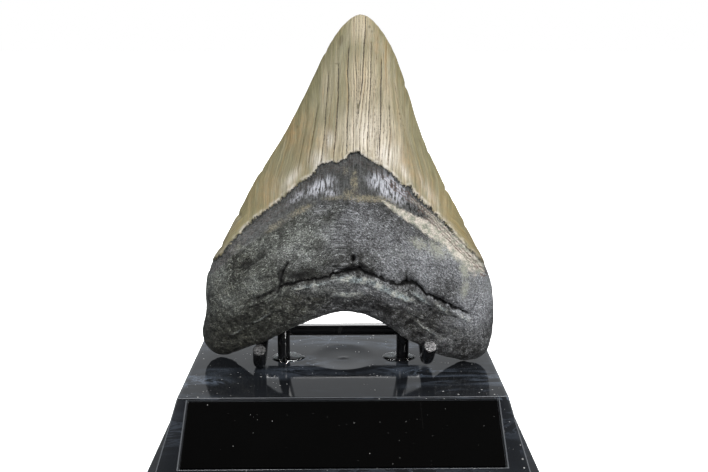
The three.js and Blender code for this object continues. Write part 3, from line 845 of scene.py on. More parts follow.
def enamel_colour(sheet, settings, place, phase, up, pale, stain):
    """Long streaks that follow the cracks, pale in the middle and rusty in places.

    Also gives the crack mask and the streaks.
    """
    fine = sheet.grain(place, 0.5, 3.0, 0.6)
    medium = sheet.grain(place, 2.4, 4.0, 0.6)
    drift = sheet.scaled(sheet.grain(place, 5.0, 2.0), 0.16, -0.08)
    lane = sheet.plus(phase, drift)
    rising = sheet.times(up, 0.013)
    lanes = sheet.join(lane, 0.0, rising)

    # On the narrow sides the streaks lie side by side in depth
    depth = sheet.part(place, "Y")
    side_lane = sheet.scaled(depth, 0.22, sheet.times(drift, 2.0))
    side_lanes = sheet.join(side_lane, 5.0, rising)
    side = sheet.rise(sheet.attribute("edge"), 0.12, 0.6)

    def along(size, detail, roughness):
        front = sheet.grain(lanes, size, detail, roughness)
        aside = sheet.grain(side_lanes, size, detail, roughness)
        return sheet.scaled(sheet.minus(aside, front), side, front)

    streaks = along(0.16, 3.0, 0.65)
    wide_streaks = along(0.8, 2.0, 0.5)
    paleness = sheet.plus(pale, sheet.scaled(wide_streaks, 0.8, -0.4))
    enamel = sheet.mix(sheet.rise(paleness, 0.0, 1.0), settings.enamel_side, settings.enamel_middle)
    rust = sheet.times(stain, sheet.rise(sheet.plus(medium, wide_streaks), 0.7, 1.2))
    enamel = sheet.mix(sheet.times(rust, 0.62), enamel, settings.enamel_stain)
    tinge = along(0.3, 3.0, 0.6)
    enamel = sheet.mix(sheet.rise(tinge, 0.48, 0.75, 0.0, 0.42), enamel, settings.enamel_stain)
    frosted = sheet.times(sheet.attribute("frost"), sheet.rise(streaks, 0.3, 0.65, 0.1, 0.6))
    enamel = sheet.mix(frosted, enamel, settings.enamel_bloom)
    border = sheet.plus(sheet.attribute("enamel"), sheet.scaled(streaks, 2.0, -1.0))
    border = sheet.times(sheet.rise(border, 0.3, 1.5, 0.4, 0.0), sheet.rise(medium, 0.4, 0.62, 0.1, 1.0))
    enamel = sheet.mix(border, enamel, settings.enamel_bloom)
    rim = sheet.times(sheet.attribute("edge"), sheet.rise(medium, 0.2, 0.7, 0.25, 0.7))
    enamel = sheet.mix(rim, enamel, settings.enamel_rim)
    hairs = along(0.06, 2.0, 0.6)
    tone = sheet.plus(sheet.rise(streaks, 0.32, 0.68, 0.82, 1.16), sheet.scaled(fine, 0.3, -0.15))
    tone = sheet.times(tone, sheet.rise(hairs, 0.3, 0.7, 0.8, 1.2))
    enamel = sheet.mix(1.0, enamel, grey(sheet, tone), "MULTIPLY")
    spots = sheet.rise(sheet.plus(sheet.attribute("dark"), sheet.scaled(fine, 0.5, -0.25)), 0.2, 0.6)
    enamel = sheet.mix(sheet.times(spots, 0.85), enamel, settings.enamel_spot)
    freckles = sheet.rise(sheet.cells(place, 1.9), 0.0, 0.13, 1.0, 0.0)
    freckles = sheet.times(freckles, sheet.rise(medium, 0.5, 0.62, 0.0, 0.55))
    enamel = sheet.mix(freckles, enamel, settings.enamel_spot)

    # A main crack lies at each whole number of the phase, and fainter ones between
    jitter = sheet.scaled(sheet.grain(place, 0.9, 4.0, 0.7), 0.24, -0.12)
    cracked = sheet.attribute("cracked")
    dotted = sheet.grain(place, 0.9, 3.0, 0.6)
    main = crack_line(sheet, sheet.plus(phase, jitter), 1.0)
    width = sheet.scaled(sheet.times(cracked, medium), 0.32, 0.02)
    main = sheet.rise(sheet.math("DIVIDE", main, width), 0.4, 1.2, 1.0, 0.0)
    main = sheet.times(main, sheet.rise(sheet.scaled(cracked, 0.6, dotted), 0.66, 0.98))
    thin = crack_line(sheet, sheet.plus(lane, jitter), 3.0)
    thin = sheet.rise(thin, 0.05, 0.2, 1.0, 0.0)
    thin = sheet.times(thin, sheet.rise(sheet.plus(dotted, wide_streaks), 0.85, 1.2, 0.0, 0.7))
    thin = sheet.times(thin, sheet.rise(pale, 0.3, 0.85, 0.2, 1.0))
    thin = sheet.times(thin, sheet.minus(1.0, side))
    crack = sheet.math("MAXIMUM", main, thin, clamp=True)
    return sheet.mix(sheet.times(crack, 0.9), enamel, settings.crack_fill), crack, streaks


def crack_line(sheet, phase, times):
    """Distance in millimetres from the nearest crack line, with a number of lines per phase."""
    counted = sheet.times(phase, times)
    away = sheet.math("ABSOLUTE", sheet.minus(counted, sheet.math("ROUND", counted)))
    return sheet.times(away, sheet.math("DIVIDE", sheet.attribute("spacing"), times))


def broken_patch(sheet, name, crumbs, gain, full):
    """A patch of the surface that breaks up into crumbs, and ends where its attribute does."""
    patch = sheet.attribute(name)
    worn = sheet.plus(patch, sheet.scaled(crumbs, gain, -gain))
    return sheet.times(sheet.rise(worn, 0.0, full), sheet.rise(patch, 0.03, 0.45))


def grey(sheet, tone):
    """A grey colour from a value."""
    return sheet.add("ShaderNodeCombineColor", {0: tone, 1: tone, 2: tone}).outputs[0]


def root_strokes(sheet, place):
    """Short strokes that fall away from the middle of the root to both sides."""
    parts = sheet.add("ShaderNodeSeparateXYZ", {"Vector": place}).outputs
    aside = sheet.math("SQRT", sheet.scaled(parts["X"], parts["X"], 25.0))
    along = sheet.minus(sheet.times(parts["Z"], 0.57), sheet.times(aside, 0.82))
    across = sheet.plus(sheet.times(parts["Z"], 0.82), sheet.times(aside, 0.57))
    lain = sheet.join(sheet.times(along, 0.42), parts["Y"], across)
    return sheet.grain(lain, 0.36, 3.0, 0.6)


def root_colour(sheet, settings, place, pale, stain):
    """Dark grainy root with lighter and browner patches, a cleft and pits, painted light and shade in its
    tone, painted glints, and painted shade in the hollows. Also the mask of the hollows.
    """
    fine = sheet.grain(place, 0.42, 3.0, 0.6)
    medium = sheet.grain(place, 2.4, 4.0, 0.6)
    broad = sheet.grain(place, 8.0, 3.0, 0.5)
    strokes = root_strokes(sheet, place)
    mottling = sheet.scaled(medium, 0.25, sheet.scaled(broad, 1.35, -0.80))
    # The pale feature brings in the root's painted light on the right and its painted shade on the lower
    # left
    light = sheet.plus(pale, mottling)
    root = sheet.mix(sheet.rise(light, -0.25, 1.0), settings.root_dark, settings.root_light)
    root = sheet.mix(sheet.times(stain, sheet.rise(medium, 0.4, 0.7, 0.0, 0.8)), root, settings.root_brown)

    # Grain and strokes, calmer on the pale parts
    grain = sheet.times(sheet.rise(fine, 0.3, 0.7, 0.2, 1.8), sheet.rise(strokes, 0.3, 0.7, 0.3, 1.8))
    bold = sheet.rise(pale, 0.0, 1.0, 1.0, 0.75)
    speckle = sheet.scaled(sheet.minus(grain, 1.0), bold, 1.0)
    root = sheet.mix(1.0, root, grey(sheet, speckle), "MULTIPLY")
    # Painted glints: pale lines and flecks stand in for light sparkling on the grain, dimmer in the painted
    # shade
    glint_lines = sheet.math("ABSOLUTE", sheet.minus(sheet.grain(place, 0.6, 2.0, 0.5, 0.6), 0.5))
    glint_lines = sheet.times(sheet.rise(glint_lines, 0.0, 0.05, 1.0, 0.0), sheet.rise(medium, 0.38, 0.62, 0.0, 0.5))
    dull = sheet.rise(pale, -0.5, 0.0, 0.35, 1.0)
    lively = sheet.times(bold, dull)
    root = sheet.mix(sheet.times(glint_lines, lively), root, settings.root_glint)
    flecks = sheet.rise(strokes, 0.56, 0.66, 0.0, 1.0)
    flecks = sheet.times(flecks, sheet.rise(sheet.plus(medium, fine), 0.9, 1.15, 0.0, 0.95))
    root = sheet.mix(sheet.times(flecks, lively), root, settings.root_glint)

    # The colour drifts from olive at the left to violet at the right
    drift = sheet.scaled(sheet.grain(place, 11.0, 2.0, 0.5), 1.6, -0.8)
    across = sheet.part(place, "X")
    drift = sheet.plus(drift, sheet.rise(across, -30.0, 12.0))
    tint = sheet.mix(sheet.rise(drift, 0.0, 1.0), settings.root_olive, settings.root_violet)
    # Half grey is no drift, so the tint counts twice
    root = sheet.mix(1.0, root, sheet.mix(1.0, tint, (2.0, 2.0, 2.0), "MULTIPLY"), "MULTIPLY")

    # The broken lip, and the painted shade inside the cleft and the pits
    lip = broken_patch(sheet, "lip", sheet.plus(fine, medium), 1.7, 0.9)
    lip = sheet.times(lip, sheet.rise(strokes, 0.35, 0.6, 0.25, 0.95))
    lip_colour = sheet.mix(sheet.rise(medium, 0.42, 0.6), settings.cleft_lip, settings.lip_edge)
    root = sheet.mix(lip, root, lip_colour)
    crumbled = broken_patch(sheet, "crumbled", sheet.plus(fine, medium), 1.9, 0.7)
    root = sheet.mix(sheet.times(crumbled, 0.85), root, settings.cleft_shade_black)
    opening = sheet.attribute("opening")
    wander = sheet.scaled(sheet.grain(place, 1.3, 4.0, 0.65), 1.3, -0.8)
    inside = sheet.math("ABSOLUTE", sheet.plus(sheet.attribute("cleft"), wander))
    narrow = sheet.scaled(opening, 0.32, 0.1)
    wide = sheet.scaled(opening, 0.75, 0.35)
    inside = sheet.rise(inside, narrow, wide, 1.0, 0.0)
    inside = sheet.times(inside, sheet.rise(sheet.plus(opening, medium), 0.7, 1.1))
    hollow = sheet.math("MAXIMUM", inside, sheet.attribute("dark"))
    return sheet.mix(sheet.times(hollow, 0.98), root, settings.cleft_shade_black), hollow


def band_over(sheet, settings, root, place):
    """The dark band below the enamel: upright striations, grey bloom, gold and cream deposits."""
    fine = sheet.grain(place, 0.5, 4.0, 0.65)
    medium = sheet.grain(place, 1.8, 4.0, 0.6)
    striae = sheet.grain(sheet.stretch(place, (1.0, 1.0, 0.09)), 0.6, 3.0, 0.65)
    worn = sheet.rise(sheet.plus(striae, fine), 0.85, 1.3, 0.0, 0.55)
    band = sheet.mix(worn, settings.band_dark, settings.root_light)
    frost = sheet.plus(sheet.attribute("frost"), sheet.scaled(medium, 0.6, -0.3))
    frost = sheet.times(sheet.rise(frost, 0.05, 1.0), sheet.rise(striae, 0.40, 0.58))
    band = sheet.mix(frost, band, settings.band_frost)
    root = sheet.mix(sheet.rise(sheet.attribute("band"), -0.05, 0.1), root, band)
    crumbs = sheet.plus(medium, fine)
    gold = broken_patch(sheet, "gold", crumbs, 1.2, 1.1)
    gold = sheet.times(gold, sheet.rise(fine, 0.35, 0.65, 0.15, 1.0))
    root = sheet.mix(gold, root, settings.band_gold)
    green = broken_patch(sheet, "green", crumbs, 1.3, 1.0)
    root = sheet.mix(sheet.times(green, sheet.rise(fine, 0.3, 0.65, 0.35, 0.8)), root, settings.cream_green)
    cream = broken_patch(sheet, "cream", crumbs, 1.6, 1.1)
    cream = sheet.times(cream, sheet.rise(fine, 0.3, 0.65, 0.5, 0.95))
    creamy = sheet.mix(sheet.rise(medium, 0.35, 0.65), settings.cream_green, settings.cream)
    root = sheet.mix(cream, root, creamy)
    gaps = sheet.rise(striae, 0.42, 0.52, 1.0, 0.0)
    strokes = sheet.times(sheet.rise(sheet.attribute("strokes"), 0.15, 0.6), gaps)
    root = sheet.mix(sheet.times(strokes, 0.95), root, settings.cleft_shade_black)
    right = sheet.rise(sheet.part(place, "X"), 8.0, 20.0, 0.25, 0.9)
    smooth_gap = sheet.scaled(sheet.grain(place, 2.5, 3.0), 1.2, sheet.attribute("enamel"))
    for offset in (0.6, 1.5, 2.3):
        line = sheet.math("ABSOLUTE", sheet.plus(smooth_gap, offset))
        line = sheet.times(sheet.rise(line, 0.06, 0.28, 1.0, 0.0), sheet.rise(medium, 0.35, 0.55))
        root = sheet.mix(sheet.times(line, right), root, settings.band_line)
    return root


def fossil_material(settings):
    """Streaked enamel over a dark band and a grainy root."""
    material, sheet, shader = new_material("Fossil tooth")
    place = sheet.attribute("place", "Vector")
    phase = sheet.attribute("phase")
    enamel_gap = sheet.attribute("enamel")
    pale = sheet.attribute("pale")
    stain = sheet.attribute("stain")
    up = sheet.part(place, "Z")
    enamel, crack, streaks = enamel_colour(sheet, settings, place, phase, up, pale, stain)
    root, hollow = root_colour(sheet, settings, place, pale, stain)
    ragged = sheet.plus(enamel_gap, sheet.scaled(sheet.grain(place, 0.8, 4.0, 0.7), 2.0, -1.0))
    ragged = sheet.plus(ragged, sheet.scaled(streaks, 1.4, -0.7))
    root = band_over(sheet, settings, root, place)
    uneven = sheet.rise(sheet.grain(place, 2.0, 3.0), 0.3, 0.6, 0.35, 1.0)
    shadow = sheet.times(sheet.rise(ragged, -0.6, -0.1, 0.0, 0.85), uneven)
    root = sheet.mix(shadow, root, settings.cleft_shade_black)
    on_enamel = sheet.rise(ragged, -0.1, 0.12)

    fine = sheet.grain(place, 0.42, 4.0, 0.65)
    grit = sheet.grain(place, 1.1, 4.0, 0.6)
    root_rough = sheet.math("MAXIMUM", sheet.rise(fine, 0.3, 0.7, 0.26, 0.52), hollow)
    enamel_rough = sheet.rise(streaks, 0.3, 0.7, 0.3, 0.45)
    off_enamel = sheet.minus(1.0, on_enamel)
    rough = sheet.plus(sheet.times(enamel_rough, on_enamel), sheet.times(root_rough, off_enamel))
    root_height = sheet.times(sheet.plus(fine, sheet.times(grit, 1.6)), off_enamel)
    blade_height = sheet.scaled(crack, -0.6, sheet.times(streaks, 0.2))
    height = sheet.scaled(blade_height, on_enamel, root_height)
    sheet.fill(shader, {
        "Base Color": sheet.mix(on_enamel, root, enamel), "Roughness": rough, "Specular IOR Level": 0.32,
        "Normal": sheet.bump(height, 1.0, 0.7 * MM),
    })
    return material


class FOSSIL_OT_tooth(bpy.types.Operator):
    """Carves the tooth's surface over its solid and gives it the fossil finish"""
    bl_idname = "fossil.tooth"
    bl_label = "Tooth"

    def execute(self, context):
        settings = context.scene.fossil_tooth
        piece = copy_of_node("tooth", "fossil_tooth")
        bpy.ops.object.mode_set(mode="EDIT")
        bpy.ops.mesh.select_all(action="SELECT")
        bpy.ops.mesh.tris_convert_to_quads(face_threshold=1.2, shape_threshold=1.2)
        bpy.ops.mesh.select_mode(type="EDGE")
        bpy.ops.mesh.select_all(action="DESELECT")
        bpy.ops.mesh.edges_select_sharp(sharpness=math.radians(38.0))
        bpy.ops.transform.edge_crease(value=0.9)
        bpy.ops.object.mode_set(mode="OBJECT")
        apply_modifier(piece, "SUBSURF", levels=2, render_levels=2)
        rim = self.cutting_edges(piece)
        apply_modifier(piece, "REMESH", mode="VOXEL", voxel_size=settings.grain)
        apply_modifier(piece, "SMOOTH", factor=0.5, iterations=6)
        ToothSurface(piece, settings).reach_rim(piece, rim)
        surface = ToothSurface(piece, settings)
        surface.features()
        surface.write(piece)
        take(piece)
        bpy.ops.object.shade_smooth()
        finish_piece(piece, fossil_material(settings), "fossil_tooth", "tooth")
        return {"FINISHED"}

    def cutting_edges(self, piece):
        """Places along the sharp edges of the smooth form, a fraction of a millimetre apart."""
        bpy.ops.object.mode_set(mode="EDIT")
        bpy.ops.mesh.select_mode(type="EDGE")
        bpy.ops.mesh.select_all(action="DESELECT")
        bpy.ops.mesh.edges_select_sharp(sharpness=math.radians(45.0))
        sheet = bmesh.from_edit_mesh(piece.data)
        ends = [tuple(corner.co.copy() for corner in edge.verts) for edge in sheet.edges if edge.select]
        bpy.ops.object.mode_set(mode="OBJECT")
        return [start.lerp(end, step / 5) for start, end in ends for step in range(5)]


# The stand, with its wires and glue in millimetres

# A back wire's foot and knee above the top, and its upper corners: shift inwards, depth and height
POST_FOOT, POST_KNEE = -7.7, 9.6
POST_RUN = [(0.6, 43.15, 21.4), (3.0, 46.6, 58.0)]
# A prong from its tip back under the root: depth and height above the top
PRONG_RUN = [(17.6, 9.6), (22.6, 2.0), (27.6, 2.6)]
# How far the left and right prongs are lifted, and their tips shifted to the right
PRONG_LIFT = {-1: -0.15, 1: 1.05}
TIP_SHIFT = {-1: 0.8, 1: 0.5}
CRADLE_BEND, POST_BEND = 4.5, 5.0
# A bead of glue from the wire outwards: radius and height above the top
GLUE_RINGS = [
    (2.14, 0.8), (2.5, 0.58), (3.2, 0.46), (4.4, 0.42), (5.4, 0.36), (6.0, 0.2), (6.2, 0.05), (6.1, 0.02),
]
# Radius within which the wire holds a bead's shape, and the run over which it comes free
WIRE_HOLD, FREE_RUN = 2.2, 4.0
# How far the left and right beads ran to the right
GLUE_DRIFT = {-1: 1.3, 1: -1.8}


def gloss_material(
        name, tint, dust_tint, roughness, specks, film, scratch_width, specular=0.5, wisp_tint=None):
    """Polished black with dust and hair scratches, and pale wisps if a tint is given for them."""
    material, sheet, shader = new_material(name)
    dust = use_group(sheet, settled_dust(), Speck_size=SPECK_SIZE, Amount=specks, Film=film)
    scratch = use_group(sheet, hair_scratches(), Width=scratch_width)
    shown = sheet.math("MAXIMUM", dust, sheet.times(scratch, 0.035))
    if wisp_tint:
        tint = sheet.mix(marbled_wisps(sheet), tint, wisp_tint)
    smear = sheet.grain(sheet.object_place(), 0.03, 4.0, 0.6)
    rough = sheet.plus(sheet.rise(smear, 0.35, 0.7, roughness, roughness * 1.7), sheet.times(shown, 0.5))
    ripple = sheet.grain(sheet.object_place(), 0.012, 2.0, 0.4)
    height = sheet.minus(ripple, sheet.times(scratch, 0.08))
    sheet.fill(shader, {
        "Base Color": sheet.mix(shown, tint, dust_tint), "Roughness": rough, "IOR": 1.5,
        "Specular IOR Level": specular, "Normal": sheet.bump(height, 0.12, 0.2 * MM),
    })
    return material


def marbled_wisps(sheet):
    """Thin curling wisps and faint clouds, as in marbled plastic."""
    place = sheet.stretch(sheet.object_place(), (0.36, 1.0, 1.0))
    fields = sheet.rise(sheet.grain(place, 0.022, 2.0), 0.44, 0.6)
    thin = sheet.math("ABSOLUTE", sheet.minus(sheet.grain(place, 0.013, 5.0, 0.62, 1.6), 0.5))
    broad = sheet.math("ABSOLUTE", sheet.minus(sheet.grain(place, 0.026, 4.0, 0.6, 2.2), 0.52))
    thin = sheet.rise(thin, 0.0, 0.035, 0.7, 0.0)
    wisps = sheet.math("MAXIMUM", thin, sheet.rise(broad, 0.0, 0.07, 0.5, 0.0))
    cloud = sheet.rise(sheet.grain(place, 0.017, 4.0, 0.6), 0.45, 0.8, 0.0, 0.12)
    shown = sheet.math("ADD", sheet.times(wisps, fields), cloud, clamp=True)
    height = sheet.part(sheet.object_place(), "Z")
    return sheet.times(shown, sheet.rise(height, TOP_Z - 2 * MM, TOP_Z - 0.5 * MM, 0.22, 1.0))


def slope_frame(stand):
    """Matrix of the front slope: x across, y up the slope, z out of it, from the top edge's middle."""
    return Matrix.Translation(on_base(0, 0, 0)) @ Matrix.Rotation(math.pi / 2 - stand.front_lean, 4, "X")


class FOSSIL_OT_base(bpy.types.Operator):
    """Models the base: foot, sloped body, plate recess, wire holes and moulding dish"""
    bl_idname = "fossil.base"
    bl_label = "Base"

    def execute(self, context):
        stand = context.scene.fossil_stand
        piece = self.block(stand)
        self.recess(piece, stand)
        piece.data.materials.append(gloss_material(
            "Base plastic", stand.plastic, stand.dust, roughness=0.05, specks=0.3, film=0.005,
            scratch_width=0.006, wisp_tint=stand.wisp))
        # The second material is the painted edge highlight, which the bevel gives to its faces
        piece.data.materials.append(gloss_material(
            "Base edge", stand.edge_highlight, stand.dust, roughness=0.18, specks=0.1, film=0.05,
            scratch_width=0.006))
        apply_modifier(
            piece, "BEVEL", width=stand.edge_round, segments=3, limit_method="ANGLE",
            angle_limit=math.radians(20), material=1)
        self.dish(piece, stand)
        self.holes(piece, stand)
        shade(piece, 25)
        finish_piece(piece, None, "base_plastic", "base")
        return {"FINISHED"}

    def block(self, stand):
        """A foot block with a body drawn up from it to the base's top."""
        start_clean()
        size = base_high - base_low
        bpy.ops.mesh.primitive_cube_add(size=1.0, location=(0, 0, stand.foot_height / 2))
        bpy.context.object.scale = (size.x, size.y, stand.foot_height)
        piece = name_active("display_base")
        bpy.ops.object.mode_set(mode="EDIT")
        pick_faces(piece, lambda middle, normal: normal.z > 0.9)
        narrowed = [1 - 2 * stand.foot_draft / side for side in (size.x, size.y)]
        bpy.ops.transform.resize(value=(*narrowed, 1), center_override=(0, 0, stand.foot_height))
        bpy.ops.mesh.inset(thickness=stand.foot_step - stand.foot_draft)
        rise = TOP_Z - stand.foot_height
        bpy.ops.mesh.extrude_region_move(TRANSFORM_OT_translate={"value": (0, 0, rise)})
        body_width = size.x - 2 * stand.foot_step
        body_depth = size.y - 2 * stand.foot_step
        shrink = (stand.top_width / body_width, stand.top_depth / body_depth, 1)
        bpy.ops.transform.resize(value=shrink, center_override=(0, 0, TOP_Z))
        bpy.ops.transform.translate(value=(0, front_edge_y() + stand.top_depth / 2, 0))
        bpy.ops.object.mode_set(mode="OBJECT")
        return piece

    def recess(self, piece, stand):
        """A shallow recess for the plate in the front slope."""
        slope = slope_frame(stand)
        outward = slope.to_3x3() @ Vector((0, 0, 1))
        bpy.ops.object.mode_set(mode="EDIT")
        pick_faces(piece, lambda middle, normal: normal.dot(outward) > 0.99)
        bpy.ops.mesh.inset(thickness=stand.recess_margin)
        half = stand.plate_width / 2 + stand.recess_margin
        above = -stand.plate_top_edge + stand.recess_margin
        below = -stand.plate_top_edge - stand.plate_height - stand.recess_margin
        sheet = bmesh.from_edit_mesh(piece.data)
        inner = next(face for face in sheet.faces if face.select)
        middle = inner.calc_center_median()
        for corner in inner.verts:
            side = half if corner.co.x > 0 else -half
            along = above if corner.co.z > middle.z else below
            corner.co = slope @ Vector((side, along, 0))
        bmesh.update_edit_mesh(piece.data)
        depth = stand.plate_thickness + stand.plate_gap
        bpy.ops.mesh.extrude_region_move(TRANSFORM_OT_translate={"value": -outward * depth})
        bpy.ops.object.mode_set(mode="OBJECT")

    def dish(self, piece, stand):
        """A very shallow round dish with a gate mark, left in the top by moulding."""
        bpy.ops.object.mode_set(mode="EDIT")
        pick_faces(piece, lambda middle, normal: normal.z > 0.99 and middle.z > TOP_Z - WELD)
        bpy.ops.mesh.subdivide(number_cuts=95)
        bpy.ops.object.mode_set(mode="OBJECT")
        middle = on_base(0, stand.post_depth, 0)
        for vertex in piece.data.vertices:
            if vertex.co.z < TOP_Z - WELD:
                continue
            away = math.hypot(vertex.co.x - middle.x, vertex.co.y - middle.y)
            share = max(0.0, 1.0 - (away / stand.dish_radius) ** 2)
            nub = math.exp(-(away / GATE_RADIUS) ** 4)
            vertex.co.z -= stand.dish_depth * share * share * (3 - 2 * share) * (1 - 0.8 * nub)

    def holes(self, piece, stand):
        """Blind holes for the back wires."""
        for side in (-1, 1):
            start_clean()
            spot = on_base(side * stand.post_across, stand.post_depth, 0)
            bpy.ops.mesh.primitive_cylinder_add(
                vertices=40, radius=stand.wire_radius + HOLE_GAP, depth=2 * HOLE_DEPTH, location=spot)
            drill = name_active("drill")
            apply_modifier(piece, "BOOLEAN", operation="DIFFERENCE", object=drill, solver="EXACT")
            bpy.data.objects.remove(drill)


class FOSSIL_OT_nameplate(bpy.types.Operator):
    """Models the bare nameplate in its recess"""
    bl_idname = "fossil.nameplate"
    bl_label = "Nameplate"

    def execute(self, context):
        stand = context.scene.fossil_stand
        start_clean()
        bpy.ops.mesh.primitive_cube_add(size=1.0)
        piece = bpy.context.object
        piece.scale = (stand.plate_width, stand.plate_height, stand.plate_thickness)
        piece = name_active("bare_nameplate")
        apply_modifier(piece, "BEVEL", width=PLATE_ROUND, segments=2, limit_method="ANGLE")
        middle = Vector((0, -stand.plate_top_edge - stand.plate_height / 2, -stand.plate_thickness / 2))
        piece.matrix_world = slope_frame(stand) @ Matrix.Translation(middle)
        take(piece)
        bpy.ops.object.transform_apply(location=True, rotation=True, scale=True)
        shade(piece, 25)
        material = gloss_material(
            "Plate laminate", stand.plate_black, stand.dust, roughness=0.4, specks=0.13, film=0.0016,
            scratch_width=0.002, specular=0.0)
        finish_piece(piece, material, "plate_plastic", "nameplate")
        return {"FINISHED"}


def bent_path(corners, bend):
    """Points along straight runs joined by bends."""
    steps = 9
    path = [corners[0]]
    for before, corner, after in zip(corners[:-2], corners[1:-1], corners[2:]):
        back = before - corner
        ahead = after - corner
        start = corner + back.normalized() * min(bend, back.length / 2)
        end = corner + ahead.normalized() * min(bend, ahead.length / 2)
        for step in range(steps + 1):
            share = step / steps
            path.append(start.lerp(corner, share).lerp(corner.lerp(end, share), share))
    path.append(corners[-1])
    return path


def coated_wire(name, corners, bend, radius):
    """A round wire along bent runs, with closed ends."""
    path = bent_path(corners, bend)
    start_clean()
    curve = bpy.data.curves.new(name, "CURVE")
    curve.dimensions = "3D"
    curve.bevel_depth = radius
    curve.bevel_resolution = 7
    curve.use_fill_caps = True
    spline = curve.splines.new("POLY")
    spline.points.add(len(path) - 1)
    for point, place in zip(spline.points, path):
        point.co = (*place, 1.0)
    piece = bpy.data.objects.new(name, curve)
    bpy.context.collection.objects.link(piece)
    take(piece)
    bpy.ops.object.convert(target="MESH")
    weld(outwards=True)
    return bpy.context.object


def wire_materials(stand):
    """Gloss black coating and bare cut metal."""
    coating = gloss_material(
        "Wire coating", stand.wire_black, stand.dust, roughness=0.1, specks=0.1, film=0.008,
        scratch_width=0.012)
    metal, sheet, shader = new_material("Cut metal")
    place = sheet.object_place()
    torn = sheet.grain(place, 0.0007, 4.0, 0.65)
    bright = sheet.rise(torn, 0.36, 0.64)
    # The cut metal is darker towards the left
    darker_to_left = sheet.rise(sheet.part(place, "X"), -25 * MM, 25 * MM, 0.4, 1.0)
    bright = sheet.times(bright, darker_to_left)
    sheet.fill(shader, {
        "Base Color": sheet.mix(bright, stand.wire_black, stand.cut_metal),
        "Roughness": sheet.rise(torn, 0.3, 0.7, 0.55, 0.3),
        "Metallic": sheet.rise(torn, 0.4, 0.55, 0.3, 1.0),
        "Normal": sheet.bump(torn, 0.8, 0.3 * MM),
    })
    return coating, metal


class FOSSIL_OT_wires(bpy.types.Operator):
    """Bends the cradle wire and the two back wires"""
    bl_idname = "fossil.wires"
    bl_label = "Wires"

    def execute(self, context):
        stand = context.scene.fossil_stand
        turn = context.scene.fossil_tooth.turn
        coating, metal = wire_materials(stand)
        cradle = [*self.prong(stand, -1), *reversed(self.prong(stand, 1))]
        self.finish(stand, "cradle", cradle, CRADLE_BEND * MM, coating, metal, "cradle_wire")
        for hand, side in (("left", -1), ("right", 1)):
            foot = side * stand.post_across
            nearer = foot * math.tan(turn)
            post = [on_base(foot, stand.post_depth, height * MM) for height in (POST_FOOT, POST_KNEE)]
            for shift, depth, height in POST_RUN:
                across = side * (stand.post_across - shift * MM)
                post.append(on_base(across, depth * MM - nearer, height * MM))
            self.finish(stand, f"{hand}_post", post, POST_BEND * MM, coating, metal, f"{hand}_back_wire")
        return {"FINISHED"}

    def prong(self, stand, side):
        """From an upturned prong's tip back under the root to the end of the bar."""
        across = side * stand.prong_across
        run = [on_base(across, depth * MM, (height + PRONG_LIFT[side]) * MM) for depth, height in PRONG_RUN]
        run[0].x += TIP_SHIFT[side] * MM
        return [*run, on_base(across, stand.bar_depth, stand.bar_height)]

    def finish(self, stand, name, corners, bend, coating, metal, node):
        """Makes one wire, bevels its cut ends and gives the cut faces bare metal."""
        piece = coated_wire(name, corners, bend, stand.wire_radius)
        ends = [(corners[0], corners[0] - corners[1]), (corners[-1], corners[-1] - corners[-2])]
        piece.data.materials.append(coating)
        piece.data.materials.append(metal)

        def is_cut(middle, normal):
            return any(
                (middle - place).length < stand.wire_radius and normal.dot(way.normalized()) > 0.95
                for place, way in ends)

        bpy.ops.object.mode_set(mode="EDIT")
        pick_faces(piece, is_cut)
        bpy.ops.mesh.bevel(offset=CUT_ROUND, segments=2, affect="EDGES")
        pick_faces(piece, is_cut)
        bpy.context.object.active_material_index = 1
        bpy.ops.object.material_slot_assign()
        bpy.ops.object.mode_set(mode="OBJECT")
        shade(piece, 35)
        finish_piece(piece, coating, "coated_wire", node)


